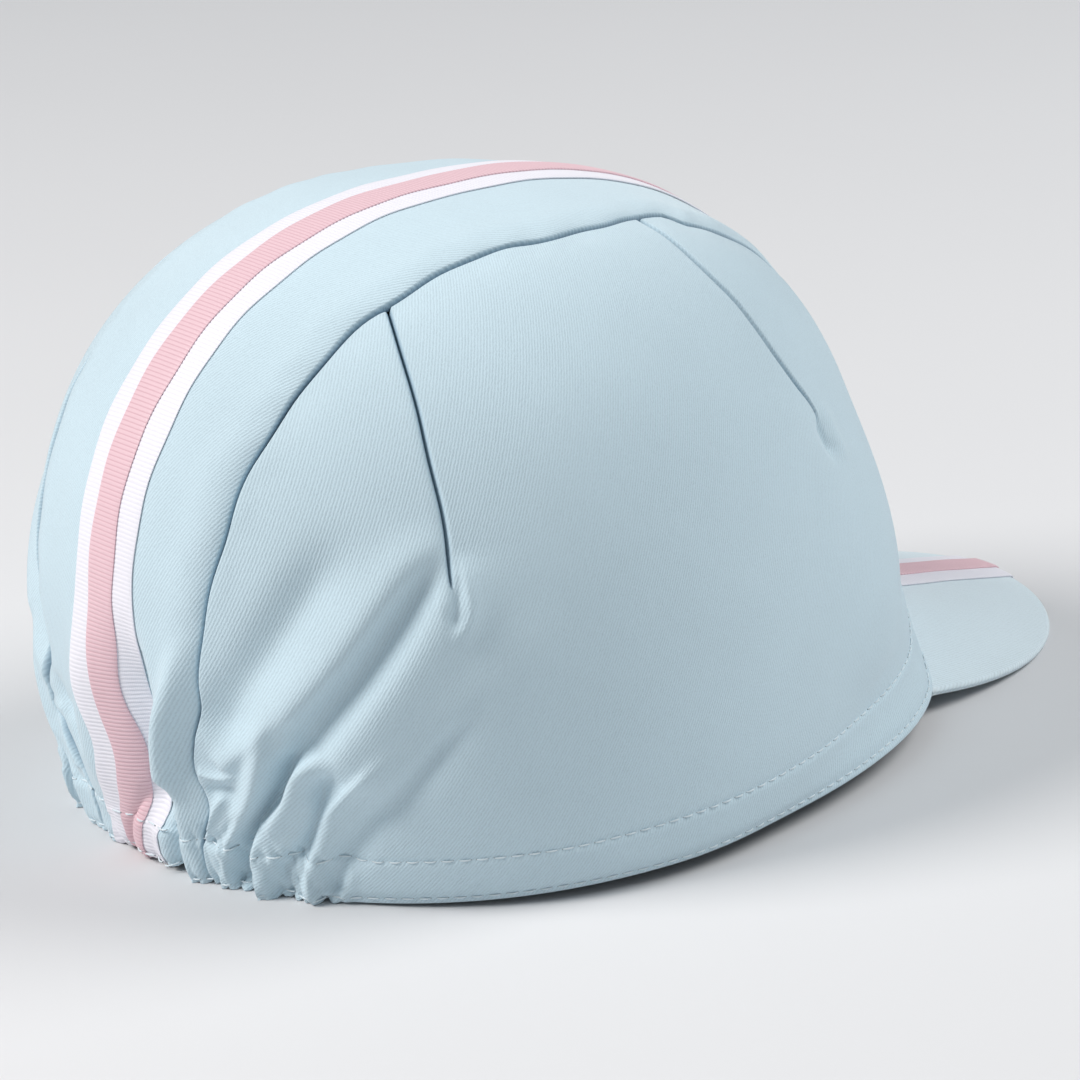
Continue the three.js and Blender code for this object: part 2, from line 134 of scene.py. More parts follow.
def solve(low, high, is_below):
    """The inputs between low and high at which a rising function reaches its target."""
    low, high = (x.astype(float) for x in np.broadcast_arrays(low, high))
    for _ in range(BISECTIONS):
        middle = (low + high) / 2
        below = is_below(middle)
        low, high = np.where(below, middle, low), np.where(below, high, middle)
    return (low + high) / 2


def hermite(table, column, at):
    """A smooth curve through a table's rows, by cubic pieces."""
    x, y = table[:, 0], table[:, column]
    slope = np.empty(len(x))
    slope[1:-1] = (y[2:] - y[:-2]) / (x[2:] - x[:-2])
    slope[0] = (y[1] - y[0]) / (x[1] - x[0])
    slope[-1] = (y[-1] - y[-2]) / (x[-1] - x[-2])
    i = np.clip(np.searchsorted(x, at, side="right") - 1, 0, len(x) - 2)
    step = x[i + 1] - x[i]
    t = (at - x[i]) / step
    return (
        y[i] * (1 + 2 * t) * (1 - t) ** 2
        + y[i + 1] * (3 - 2 * t) * t**2
        + step * slope[i] * t * (1 - t) ** 2
        + step * slope[i + 1] * (t - 1) * t**2
    )


def reach_at(bearing):
    along = np.where(np.cos(bearing) > 0, BACK_REACH, FRONT_REACH)
    return 1 / np.hypot(np.sin(bearing) / HALF_WIDTH, np.cos(bearing) / along)


def spread_at(bearing, height):
    """The share of its reach that the crown has at a height."""
    back = np.maximum(np.cos(bearing), 0) ** 2
    front = np.maximum(-np.cos(bearing), 0) ** 2
    side = np.sin(bearing) ** 2
    widest, roundness, tuck = (
        back * SECTIONS[k][0] + side * SECTIONS[k][1] + front * SECTIONS[k][2]
        for k in ("widest", "roundness", "tuck")
    )
    widest = widest * CROWN_HEIGHT
    from_front = (np.pi - np.abs(bearing)) / BROW_SPREAD
    from_brow = (height / CROWN_HEIGHT - BROW_HEIGHT) / BROW_TALL
    brow = BROW_RISE * np.exp(-(from_front**2) - from_brow**2)
    below = np.maximum((widest - height) / widest, 0)
    up = np.clip((height - widest) / (CROWN_HEIGHT - widest), 0, 1)
    lower = 1 - tuck * below**TUCK_POWER
    upper = (1 - up**roundness) ** (1 / roundness)
    return brow + np.where(height <= widest, lower, upper)


def lean_at(height):
    return -LEAN_BACK * (height / CROWN_HEIGHT) ** 2


def crown_at(bearing, height):
    radius = reach_at(bearing) * spread_at(bearing, height)
    forward = lean_at(height) - radius * np.cos(bearing)
    return np.stack(np.broadcast_arrays(radius * np.sin(bearing), forward, height), -1)


def bearing_of(points):
    return np.arctan2(points[..., 0], lean_at(points[..., 2]) - points[..., 1])


def is_inside(points):
    radius = np.hypot(points[..., 0], points[..., 1] - lean_at(points[..., 2]))
    bearing = bearing_of(points)
    height = np.minimum(points[..., 2], CROWN_HEIGHT)
    reach = reach_at(bearing) * spread_at(bearing, height)
    return (points[..., 2] < CROWN_HEIGHT) & (radius < reach)


def surface_along(point_at, shape):
    """Where paths from inside the crown, given by the distance along them, reach its surface."""
    far = np.full(shape, 2 * CROWN_HEIGHT)
    return point_at(solve(0 * far, far, lambda distance: is_inside(point_at(distance))))


def crown_towards(directions):
    """The smooth crown's points in directions from its core."""
    return surface_along(lambda distance: CORE + directions * distance[..., None], directions.shape[:-1])


def crown_patch(directions):
    """The smooth crown's points and outward normals in directions from its core."""
    across = np.cross([0, 0, 1.0], directions)
    across = across / np.maximum(np.linalg.norm(across, axis=-1, keepdims=True), PROBE)
    upwards = np.cross(directions, across)
    ahead = [
        crown_towards(unit(directions + sign * PROBE * axis))
        for axis in (across, upwards)
        for sign in (1, -1)
    ]
    normals = unit(np.cross(ahead[0] - ahead[1], ahead[2] - ahead[3]))
    return crown_towards(directions), normals


def find_corner():
    """The bearing at which the peak's corner meets the rim."""
    height = np.asarray(float(RIM_RISE))
    return float(solve(np.pi / 2, np.pi, lambda b: crown_at(b, height)[..., 0] > PEAK_HALF_WIDTH))


CORNER_BEARING = find_corner()


def rim_height(bearing):
    def forward(angle):
        return -np.cos(angle) * reach_at(angle)

    start = RIM_REST - BACK_REACH
    rise = (forward(bearing) - start) / (forward(CORNER_BEARING) - start)
    height = np.full(np.shape(bearing), float(RIM_RISE))
    across = crown_at(bearing, height)[..., 0] / PEAK_HALF_WIDTH
    at_side = np.abs(bearing) <= CORNER_BEARING
    return np.where(at_side, RIM_RISE * np.maximum(rise, 0), RIM_RISE + PEAK_ARCH * (1 - across**2))


def rim_at(bearing):
    return crown_at(bearing, rim_height(bearing))


def rim_bearing(right, at_front):
    """The rim's bearing at a distance to the right of the middle, at the back or at the front."""
    side, target = np.where(right < 0, -1.0, 1.0), np.abs(right)
    if at_front:
        return side * solve(np.pi / 2, np.pi + 0 * target, lambda b: rim_at(b)[..., 0] > target)
    return side * solve(0 * target, np.pi / 2, lambda b: rim_at(b)[..., 0] < target)


def turn_of(points):
    turn = np.arctan2(points[..., 2] - CORE[2], CORE[1] - points[..., 1])
    return np.where(turn < -np.pi / 2, turn + 2 * np.pi, turn)


# The band's turns at its two ends, by the distance to the right.
BAND_RIGHT = np.linspace(-40, 40, 321)
BAND_BACK = turn_of(rim_at(rim_bearing(BAND_RIGHT, False)))
BAND_FRONT = turn_of(rim_at(rim_bearing(BAND_RIGHT, True)))


def band_direction(along, right):
    """The direction of a point of the centre panel: a share of its length, and millimetres right."""
    along, right = np.broadcast_arrays(along, right)
    back = np.interp(right, BAND_RIGHT, BAND_BACK)
    front = np.interp(right, BAND_RIGHT, BAND_FRONT)
    turn = back + (front - back) * along

    def point_at(distance):
        forward = CORE[1] - distance * np.cos(turn)
        return np.stack([right, forward, CORE[2] + distance * np.sin(turn)], -1)

    return unit(surface_along(point_at, right.shape) - CORE)


def seam_distance(along, side):
    """The seam wanders a little, as sewing does."""
    waver = 0.28 * np.sin(along * 61 + side) + 0.2 * np.sin(along * 107 + 2 * side)
    inner = smoothstep(0, 0.04, along) * smoothstep(1, 0.96, along)
    return HALF_WIDTH * hermite(SEAMS, 1 if side > 0 else 2, along) + waver * inner


MEASURED_AT_ONCE = 6000


class Trace:
    """A line drawn on the crown."""

    def __init__(self, points):
        self.start = points[:-1]
        self.step = np.diff(points, axis=0)
        lengths = np.linalg.norm(self.step, axis=1)
        self.run = np.concatenate([[0], np.cumsum(lengths)])
        self.low, self.high = points.min(0), points.max(0)

    def measure(self, points, normals):
        """Distances from the line, positive at its right seen from outside, and how far along."""
        signed, along = np.empty(len(points)), np.empty(len(points))
        for first in range(0, len(points), MEASURED_AT_ONCE):
            part = slice(first, first + MEASURED_AT_ONCE)
            away = points[part, None] - self.start
            share = (away * self.step).sum(-1) / (self.step**2).sum(-1)
            share = np.clip(share, 0, 1)
            away = away - share[..., None] * self.step
            nearest = (away**2).sum(-1).argmin(1)
            rows = np.arange(len(nearest))
            away = away[rows, nearest]
            left = (np.cross(self.step[nearest], away) * normals[part]).sum(-1)
            signed[part] = np.where(left > 0, -1, 1) * np.linalg.norm(away, axis=-1)
            lengths = self.run[nearest + 1] - self.run[nearest]
            along[part] = self.run[nearest] + share[rows, nearest] * lengths
        return signed, along

    def near(self, points, reach):
        return ((points > self.low - reach) & (points < self.high + reach)).all(-1)


LINE_STEPS = 8  # between two of a drawn line's points


def drawn(bearings_and_heights, side=1):
    """A smooth line through bearings in degrees and heights, on one side of the cap."""
    knots = np.array(bearings_and_heights, float)
    table = np.column_stack([np.arange(len(knots)), knots])
    at = np.linspace(0, len(knots) - 1, LINE_STEPS * (len(knots) - 1) + 1)
    bearing = np.radians(hermite(table, 1, at)) * side
    return Trace(crown_at(bearing, hermite(table, 2, at)))


def fold(points, rise, back, front, low=0, high=6, crest=2, lean=0):
    """A fold in the cloth, along points (bearing in degrees, height) from its lowest one up.

    Its widths are towards the back and the front, it fades over the lengths low and high at its
    ends, and its crest is round (2) to sharp (1) and leans over by some millimetres.
    """
    return points, rise, back, front, low, high, crest, lean


FOLDS = [
    # the pleat that the ribbon lies in
    fold([(-7, 6), (-7.2, 20), (-6.8, 33), (-5.8, 46), (-5, 60)], 3.2, 5, 6.5, 18, 22),
    fold([(4.4, 8), (5.2, 20), (5.6, 31), (5.4, 44), (4.6, 62)], -5, 5.5, 2.6, 8, 24),
    fold([(8.8, 18), (9.2, 29), (11, 41), (14.5, 58)], 4.6, 2.3, 3.2, 8, 22, lean=-0.3),
    # its two branches at the hem, and the hollow between them
    fold([(4.6, 1), (4.8, 12), (7, 24)], 0.9, 1.8, 1.8, 0, 6),
    fold([(7.3, 1), (7.4, 11), (7.9, 20), (8.2, 26)], -1.9, 1.5, 1.2, 0, 5, 1.8),
    fold([(10.3, 0), (9.4, 6), (9.2, 12), (9.8, 24)], 1.7, 1.1, 2.4, 0, 6, 1.5),
    # the ribbon's own crease
    fold([(-4.4, 0), (-3.3, 5), (-1.5, 9.5), (1.4, 16), (3, 20)], -1.9, 1.0, 0.8, 0, 7, 1.4),
    # beside the seam
    fold([(17, 33), (21.5, 45), (26, 55), (31.5, 67), (39, 82)], -2.6, 5.5, 5, 8, 20),
    fold([(14, 27.3), (17, 26.6), (20.8, 27.8)], 1.2, 0.9, 1.6, 1, 4, 1.3),
    fold([(14.5, 22), (17, 23.5), (20, 24.5)], -1.1, 1.6, 1.6, 2, 3),
    fold([(13.5, 12.8), (15.6, 18), (18.2, 24)], 1.2, 1.0, 1.3, 2, 4, 1.4),
    fold([(12.8, 9), (16.6, 13.2), (20, 20)], -1.0, 1.1, 1.1, 2, 5),
    # the long ridge from the gathers up to the back dart
    fold([(17.4, 28), (22.7, 36), (27.2, 43)], 1.3, 2.8, 1.9, 3, 6),
    fold([(15.6, 2), (16.4, 10), (18.8, 16), (21.6, 22), (23.6, 31), (25.5, 42)], 2.3, 2.4, 2.2, 0, 10),
    fold([(25, 37), (29.7, 45), (34.7, 53), (40.5, 63.5), (46, 72.5), (50.5, 81)], 2.8, 5.4, 3.1, 9, 14),
    # the deep hollow, with the next fold lapping over it
    fold(
        [(18, 3), (19.4, 8.5), (21.5, 14), (23.8, 19), (26.4, 25), (29, 33), (33, 39)],
        -4.4, 2.8, 1.7, 0, 12,
    ),
    fold([(28.5, 33), (33, 42), (38, 51), (42.5, 60), (47, 69), (50, 76)], -2.8, 4.2, 3.4, 7, 10),
    fold(
        [(22.6, 0), (21.9, 8), (22.8, 15), (24.8, 18.4), (27.4, 23), (29.6, 30), (34, 36)],
        3.0, 1.2, 3.0, 0, 9, 1.6, -1.5,
    ),
    fold(
        [(32, 29), (36.2, 36), (40, 43.5), (44, 51), (48, 59), (50.6, 67), (51, 76)],
        2.4, 4.8, 8.5, 8, 12,
    ),
    fold([(24.4, 2), (25.8, 8), (29, 13), (31.4, 20), (32.4, 27), (35, 32)], -2.2, 1.8, 1.6, 0, 7),
    fold(
        [(29.2, 2), (29.6, 9), (30.6, 13), (32.4, 20), (35.5, 26), (43, 38)],
        1.9, 1.3, 2.6, 0, 12, 1.7, -0.6,
    ),
    fold(
        [(31.6, 2), (32, 7), (34.2, 11.5), (38, 19), (44, 28), (50, 38), (57, 48)],
        -1.9, 2.2, 3.4, 2, 20,
    ),
    fold([(47, 38), (57, 51), (69, 62)], 0.9, 6, 8, 10, 16),
    fold([(33.6, 2), (34.6, 6), (35.6, 10)], 0.9, 0.9, 1.3, 0, 3, 1.6),
    # round the ends of the darts
    fold([(50.6, 60), (51.6, 62.4), (52.1, 66), (52.2, 71)], -1.1, 2.2, 0.7, 3, 5, 1.6),
    fold([(50, 58.4), (52.2, 60), (53.5, 63), (53.5, 68), (52.9, 75)], 0.8, 0.7, 2.2, 3, 6, 1.7),
    fold([(133.4, 70), (132, 75), (132.2, 80)], -1.2, 1.9, 1.0, 3, 3, 1.8),
    fold([(136.5, 66), (135.2, 74), (134.6, 83)], 0.9, 1.6, 2.4, 5, 6),
]

# On the left, where only the edge shows, the same kinds of folds lie a little further round and
# are lower. The ones nearer the middle than LEFT_FROM have others in their place.
LEFT_SHARE = 0.65
LEFT_TURN = 2.5
LEFT_FROM = 12
LEFT_FOLDS = [
    fold([(12.2, 19), (12.9, 26), (16.2, 29), (18, 37)], -1.9, 2.4, 2.4, 6, 8),
    fold([(24, 12), (24.5, 26), (26, 42)], 1.2, 4, 4, 6, 12),
]


def all_folds():
    made = [(drawn(row[0]), 1, *row[1:]) for row in FOLDS]
    for row in FOLDS:
        if min(bearing for bearing, _ in row[0]) > LEFT_FROM:
            points = [(bearing + LEFT_TURN, height) for bearing, height in row[0]]
            made.append((drawn(points, -1), -1, LEFT_SHARE * row[1], *row[2:]))
    made += [(drawn(row[0], -1), -1, *row[1:]) for row in LEFT_FOLDS]
    return made


CREASES = all_folds()


def fold_moves(points, normals):
    """How far the folds lift points outwards, and how they move them aside."""
    lift, aside = np.zeros(len(points)), np.zeros_like(points)
    for trace, side, rise, back, front, low, high, crest, lean in CREASES:
        near = trace.near(points, 3 * max(back, front))
        if not near.any():
            continue
        signed, along = trace.measure(points[near], normals[near])
        width = np.where(signed * side < 0, back, front)
        share = np.exp(-((np.abs(signed) / width) ** crest))
        if low:
            share *= smoothstep(0, low, along)
        if high:
            share *= smoothstep(0, high, trace.run[-1] - along)
        lift[near] += rise * share
        if lean:
            around = unit(np.cross([0, 0, 1.0], normals[near]))
            aside[near] += side * lean * share[:, None] * around
    return lift, aside


# Hem: how far above the edge its two rows of stitches lie, and the distance from stitch to stitch
HEM_HEIGHT = 10.3
LOW_ROW = 1.5
STITCH_PITCH = 3.5

# Gathers where elastic draws up the back hem: tall pleats, with small puckers between them
ELASTIC_END = 33  # degrees
PLEAT_PITCH = 8.2
PLEAT_RISE = 1.0
PLEAT_HEIGHT = 15
PUCKER_PITCH = 2.7
PUCKER_RISE = 0.75
PUCKER_HEIGHT = 4.5
SCALLOP_RISE = 0.6
UNDER_RIBBON = 0.4  # share of the gathers that is left under the ribbons
LEFT_CALM = 0.35  # share of them that is left on the left


def rounded_wave(phase):
    """Round ridges with narrow creases between them, from -1 to 1, once for each whole number."""
    return 2 * np.abs(np.cos(np.pi * phase)) ** 0.7 - 1


def gathered_share(bearing):
    """The gathers stop where the elastic ends, and are lower on the left."""
    degrees = np.degrees(bearing)
    elastic = 1 - smoothstep(ELASTIC_END - 2, ELASTIC_END + 1.5, np.abs(degrees))
    return elastic * (1 - (1 - LEFT_CALM) * smoothstep(-7, -14, degrees))


def hem_run(bearing):
    """About how far round the back hem a bearing is."""
    return bearing * (BACK_REACH + HALF_WIDTH) / 2


def pucker_place(bearing):
    """How far round the puckers have got: they are unevenly spaced."""
    run = hem_run(bearing)
    return run + 0.9 * np.sin(run / 7.7 + 2) + 0.5 * np.sin(run / 3.1)


def gather_lift(bearing, above, under_ribbon):
    """The pleats and the small puckers of the gathered hem, at heights above the rim."""
    run = hem_run(bearing)
    pleat = run / (1 + above / 70) + 1.4 * np.sin(run / 11 + 0.7) + 0.8 * np.sin(run / 5.3)
    pucker = pucker_place(bearing) + 0.2 * above
    tall = bell(above, 0, PLEAT_HEIGHT) * rounded_wave(pleat / PLEAT_PITCH)
    short = np.exp(-above / PUCKER_HEIGHT) + 0.5 * bell(above, HEM_HEIGHT, 2)
    lift = PLEAT_RISE * tall + PUCKER_RISE * short * rounded_wave(pucker / PUCKER_PITCH)
    return gathered_share(bearing) * np.where(under_ribbon, UNDER_RIBBON, 1) * lift


def scallop(bearing, above):
    """How far the gathered edge is drawn up."""
    wave = 0.5 - 0.5 * rounded_wave(pucker_place(bearing) / PUCKER_PITCH)
    return SCALLOP_RISE * wave * gathered_share(bearing) * np.exp(-above / 2)


def hem_lift(bearing, above):
    """The hem is a little fuller than the single cloth, and each row of stitches draws it in."""
    full = 0.4 * smoothstep(LOW_ROW, LOW_ROW + 2, above)
    full = full * smoothstep(HEM_HEIGHT + 0.6, HEM_HEIGHT - 0.8, above)
    pull = 0.75 + 0.25 * np.cos(2 * np.pi * hem_run(bearing) / STITCH_PITCH)
    return full - pull * (0.3 * bell(above, HEM_HEIGHT, 0.7) + 0.2 * bell(above, LOW_ROW, 0.5))


def roll(away):
    """A quarter round that falls by 1 at distance 0 from its height at distance 1."""
    return np.sqrt(1 - (1 - np.clip(away, 0, 1)) ** 2) - 1


# Seams and darts: how deep they sink, and the widths of the rolled edge, of the lip and of the gap
SEAM_DEPTH = 1.9
SEAM_ROLL = 4.2
SEAM_LIP = 0.9
SEAM_GAP = 0.65
DART_DEPTH = 1.2
DART_ROLL = 2.8
DART_LIP = 0.7
DART_GAP = 0.6
GAP_DEPTH = 1.4
TOP = (86, 104)  # the heights between which a seam takes the form that it has along the top
FROM_HEM = 14  # how far from the hem a seam has its full form


def gap(away, width):
    """The share to which a point lies in the narrow gap between two edges sewn together: it sets how
    deep the gap sinks and how much painted shade darkens it.
    """
    return smoothstep(width, 0.05, away)


def seam_trace(side):
    along = np.linspace(0, 1, 321)
    return Trace(crown_towards(band_direction(along, side * seam_distance(along, side))))


SEAM_TRACES = [seam_trace(side) for side in (1, -1)]


def seam_lift(points, normals, in_centre):
    """The centre panel rolls over into the seam, and the side panel's edge stands up beside it."""
    lift, shade = np.zeros(len(points)), np.zeros(len(points))
    # Along the top the centre panel stands up beside the seam, and the side panel lies lower.
    top = smoothstep(*TOP, points[:, 2])
    for trace in SEAM_TRACES:
        signed, along = trace.measure(points, normals)
        away = np.abs(signed)
        full = smoothstep(0, FROM_HEM, along) * smoothstep(0, FROM_HEM, trace.run[-1] - along)
        depth = SEAM_DEPTH * (0.45 + 0.55 * full)
        if in_centre:
            width = SEAM_ROLL * (0.4 + 0.6 * full) * (1 - 0.45 * top)
            puff = 0.55 * bell(away, 6 - top, 4)
            ripple = 0.12 * np.sin(along / 2.1 + 1.5 * np.sin(along / 9)) * bell(away, 3, 2.83)
            lift += depth * (1 - 0.55 * top) * roll(away / width) + (puff + ripple) * full
        else:
            lip = depth * roll(away / SEAM_LIP) + 0.35 * bell(away, 0, 3.5)
            ripple = 0.1 * np.sin(along / 2.6 + 1.3 * np.sin(along / 7)) * bell(away, 2, 2.24)
            lift += lip * (1 - top) - 0.4 * top * bell(away, 0, 5) + ripple * full
        open_share = 0.3 + 0.7 * full
        lift -= GAP_DEPTH * gap(away, SEAM_GAP) * open_share
        # The gap's share is also kept as painted shade, which darkens the cloth's colour there.
        shade = np.maximum(shade, gap(away, SEAM_GAP + 0.1 * top) * open_share)
    return lift, shade


# Darts, from their end up to the seam: shares of the way up the side panel and across it.
BACK_DART = np.array(
    [(0.526, 0.312), (0.61, 0.3165), (0.69, 0.316), (0.785, 0.316), (0.905, 0.31), (1.0, 0.3055)]
)
FRONT_DART = np.array(
    [
        (0.572, 0.6745),
        (0.5945, 0.671),
        (0.6266, 0.6574),
        (0.6687, 0.646),
        (0.7141, 0.6391),
        (0.7578, 0.6347),
        (0.7985, 0.629),
        (0.8419, 0.6255),
        (0.9195, 0.625),
        (1.0, 0.6248),
    ]
)
EDGE_STEPS = 1201  # places in a table of a panel's edge


def in_table(table, share):
    """Directions between the rows of a table, at shares of its length."""
    place = np.linspace(0, 1, len(table))
    return np.stack([np.interp(share, place, table[:, k]) for k in range(3)], -1)


class SidePanel:
    """One side panel's places, by shares across it (from back to front) and up it."""

    def __init__(self, side):
        along = np.linspace(0, 1, EDGE_STEPS)
        right = side * (seam_distance(along, side) + EDGE_GAP)
        self.seam = band_direction(along, right)
        start = rim_bearing(right[:1], False)[0]
        end = rim_bearing(right[-1:], True)[0]
        self.rim = unit(rim_at(np.linspace(start, end, EDGE_STEPS)) - CORE)

    def direction(self, across, up):
        across, up = np.broadcast_arrays(across, up)
        low, high = SEAM_LOW_BACK, SEAM_LOW_FRONT
        a, b = across[..., None], up[..., None]
        blend = (
            in_table(self.rim, across) * (1 - b)
            + in_table(self.seam, low + (high - low) * across) * b
            + in_table(self.seam, low * up) * (1 - a)
            + in_table(self.seam, 1 + (high - 1) * up) * a
            - self.rim[0] * (1 - a) * (1 - b)
            - self.rim[-1] * a * (1 - b)
            - in_table(self.seam, np.full_like(up, low)) * (1 - a) * b
            - in_table(self.seam, np.full_like(up, high)) * a * b
        )
        return unit(blend)

    def dart(self, rows):
        up = np.linspace(rows[0, 0], 1, 60)
        return Trace(crown_towards(self.direction(hermite(rows, 1, up), up)))


SIDES = {side: SidePanel(side) for side in (1, -1)}
DARTS = {side: [SIDES[side].dart(BACK_DART), SIDES[side].dart(FRONT_DART)] for side in (1, -1)}


def dart_lift(points, normals, side):
    """A dart is a short seam that ends in the panel: the cloth behind it rolls over into it."""
    lift, shade = np.zeros(len(points)), np.zeros(len(points))
    for trace, back_roll in zip(DARTS[side], (DART_ROLL, 0.7 * DART_ROLL)):
        near = trace.near(points, 8)
        signed, along = trace.measure(points[near], normals[near])
        signed = signed * side
        back = roll(-signed / back_roll) * (signed <= 0)
        front = roll(signed / DART_LIP) * (signed > 0)
        past_end = smoothstep(0, 0.4, along)
        in_gap = gap(np.abs(signed), DART_GAP) * smoothstep(0, 3, along) * past_end
        depth = DART_DEPTH * smoothstep(-1, 11, along)
        lift[near] += depth * (back + front) * past_end - GAP_DEPTH * in_gap
        # The dart's gap is kept as painted shade too, which darkens the cloth's colour there.
        shade[near] = np.maximum(shade[near], in_gap)
    return lift, shade


def waver(points):
    """The slight unevenness of worn cloth."""
    r, f, z = points.T
    broad = np.sin(r / 17 + 0.4 * np.sin(z / 13)) * np.sin(z / 21 + f / 37 + 1.3)
    fine = np.sin(f / 9.3 + z / 14 + 2 * np.sin(r / 23)) * np.sin(z / 11 - f / 19)
    return 0.28 * broad + 0.13 * fine


BROW_FULL = 4.4
RIBBON_HALF = 9.3
RIBBON_TURN = 1.15  # how far the ribbons that go round the edge hold the hem up
FLOOR_GAP = 0.02


def brow_lift(bearing, height):
    """Over the peak the cloth stands out a little further than a smooth crown would."""
    turned = smoothstep(118, 148, np.degrees(np.abs(bearing)))
    return BROW_FULL * turned * smoothstep(76, 35, height) * smoothstep(8, 26, height)


def lifted(points, normals, kind):
    """The cloth's outer surface over points of the smooth crown, and its share of seam gaps, which sets
    where shade is painted.
    """
    shape = points.shape
    points, normals = points.reshape(-1, 3), normals.reshape(-1, 3)
    bearing = bearing_of(points)
    above = np.maximum(points[:, 2] - rim_height(bearing), 0)
    under_ribbon = (np.abs(points[:, 0]) < RIBBON_HALF + 1) & (kind == 0)
    lift, aside = fold_moves(points, normals)
    lift += gather_lift(bearing, above, under_ribbon)
    seams, shade = seam_lift(points, normals, kind == 0)
    lift += hem_lift(bearing, above) + seams + waver(points) + brow_lift(bearing, points[:, 2])
    if kind:
        darts, dart_shade = dart_lift(points, normals, kind)
        lift, shade = lift + darts, np.maximum(shade, dart_shade)
    moved = points + normals * lift[:, None] + aside
    moved[:, 2] += scallop(bearing, above)
    # The hem is held up where the ribbons go round its edge.
    under = smoothstep(RIBBON_HALF + 3, RIBBON_HALF + 0.5, np.abs(points[:, 0])) * (kind == 0)
    moved[:, 2] += RIBBON_TURN * under * (np.abs(bearing) < 1) * np.exp(-above / 4)
    moved[:, 2] = np.maximum(moved[:, 2], FLOOR_GAP)
    return moved.reshape(shape), shade.reshape(shape[:-1])


# Placing: the wearer's right is -X, forward is -Y, and the peak's tip is where the frame has it.
TIP = float(rim_at(np.array([np.pi]))[0, 1]) + PEAK_LENGTH
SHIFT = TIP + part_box("peak")[0].y / MM


def to_frame(points):
    return np.stack([-points[..., 0], SHIFT - points[..., 1], points[..., 2]], -1) * MM


CLOTH_MAP = "cloth_mm"  # a map of the flat cloth, in millimetres
# The seam shade is painted shade: the cloth's colour is darkened in the gaps between sewn edges, where
# shade falls.
SEAM_SHADE = "seam_shade"  # the share to which a point is in a gap between sewn edges


def mesh_object(name, points, faces, material, uv, sharp=None, shade=None):
    """A smooth-shaded object from points in the wearer's millimetres and arrays of equal faces."""
    mesh = bpy.data.meshes.new(name)
    faces = [np.asarray(part, np.int32) for part in faces]
    sizes = np.concatenate([np.full(len(part), part.shape[1], np.int32) for part in faces])
    corners = np.concatenate([part.ravel() for part in faces])
    starts = np.concatenate([[0], np.cumsum(sizes)[:-1]]).astype(np.int32)
    mesh.vertices.add(len(points))
    mesh.vertices.foreach_set("co", to_frame(points).astype(np.float32).ravel())
    mesh.loops.add(len(corners))
    mesh.loops.foreach_set("vertex_index", corners)
    mesh.polygons.add(len(sizes))
    mesh.polygons.foreach_set("loop_start", starts)
    mesh.polygons.foreach_set("use_smooth", np.ones(len(sizes), bool))
    mesh.update(calc_edges=True)
    layer = mesh.uv_layers.new(name=CLOTH_MAP)
    layer.uv.foreach_set("vector", uv[corners].astype(np.float32).ravel())
    if sharp is not None:
        ends = np.empty(2 * len(mesh.edges), np.int32)
        mesh.edges.foreach_get("vertices", ends)
        flags = sharp[ends].reshape(-1, 2).all(1)
        mesh.attributes.new("sharp_edge", "BOOLEAN", "EDGE").data.foreach_set("value", flags)
    # The share of painted shade in the seam gaps goes onto the mesh for the cloth's material.
    if shade is not None:
        shares = mesh.attributes.new(SEAM_SHADE, "FLOAT", "POINT").data
        shares.foreach_set("value", shade.astype(np.float32))
    mesh.validate()
    made = bpy.data.objects.new(name, mesh)
    bpy.context.scene.collection.objects.link(made)
    mesh.materials.append(material)
    return made


def grid_faces(rows, columns, base=0, flip=False):
    i, j = np.meshgrid(np.arange(rows - 1), np.arange(columns - 1), indexing="ij")
    a = (base + i * columns + j).ravel()
    faces = np.stack([a, a + 1, a + columns + 1, a + columns], -1)
    return faces[:, ::-1] if flip else faces


def rim_loop(rows, columns):
    """The grid's border, once round."""
    bottom = np.arange(columns)
    right = np.arange(1, rows) * columns + columns - 1
    top = (rows - 1) * columns + np.arange(columns - 2, -1, -1)
    left = np.arange(rows - 2, 0, -1) * columns
    return np.concatenate([bottom, right, top, left])


def shell(name, outer, inner, uv, material, outward, shade=None):
    """A closed solid between two grids of points. Outward is a direction that the outer one faces."""
    rows, columns = outer.shape[:2]
    count = rows * columns
    i, j = rows // 2, columns // 2
    facing = np.cross(outer[i, j + 1] - outer[i, j], outer[i + 1, j] - outer[i, j])
    # The frame is turned half round from the wearer's directions, so handedness stays.
    flip = float(facing @ outward) < 0
    loop = rim_loop(rows, columns)
    nxt = np.roll(loop, -1)
    sides = np.stack([nxt, loop, loop + count, nxt + count], -1)
    faces = [
        grid_faces(rows, columns, 0, flip),
        grid_faces(rows, columns, count, not flip),
        sides[:, ::-1] if flip else sides,
    ]
    sharp = np.zeros(2 * count, bool)
    sharp[loop] = sharp[loop + count] = True
    points = np.concatenate([outer.reshape(-1, 3), inner.reshape(-1, 3)])
    flat = uv.reshape(-1, 2)
    if shade is not None:
        shade = np.concatenate([shade.ravel(), shade.ravel()])
    return mesh_object(name, points, faces, material, np.concatenate([flat, flat]), sharp, shade)


# Rows of points by their height above the rim, closest where the hem turns in and is stitched
HEM_ROWS = np.array(
    [0, 0.1, 0.28, 0.55, 0.9, 1.25, 1.6, 2, 2.5, 3.2, 4, 4.9, 5.8, 6.7, 7.6, 8.4, 9.1, 9.6]
    + [10, 10.35, 10.7, 11.1, 11.6, 12.2, 13]
)
HEM_TURN = 0.75
HEM_WALL = 1.5
CLOTH_WALL = 0.75


def edge_setback(above):
    """How far the hem's rounded edge stands back from its face."""
    return HEM_TURN * (1 - np.sqrt(1 - (1 - np.clip(above / HEM_TURN, 0, 1)) ** 2)) * 0.93


def wall_at(above):
    """The hem is two layers thick, and is closed to a round edge."""
    wall = CLOTH_WALL + (HEM_WALL - CLOTH_WALL) * smoothstep(11.3, 10.6, above)
    return wall - 2 * edge_setback(above) * (above < HEM_TURN)


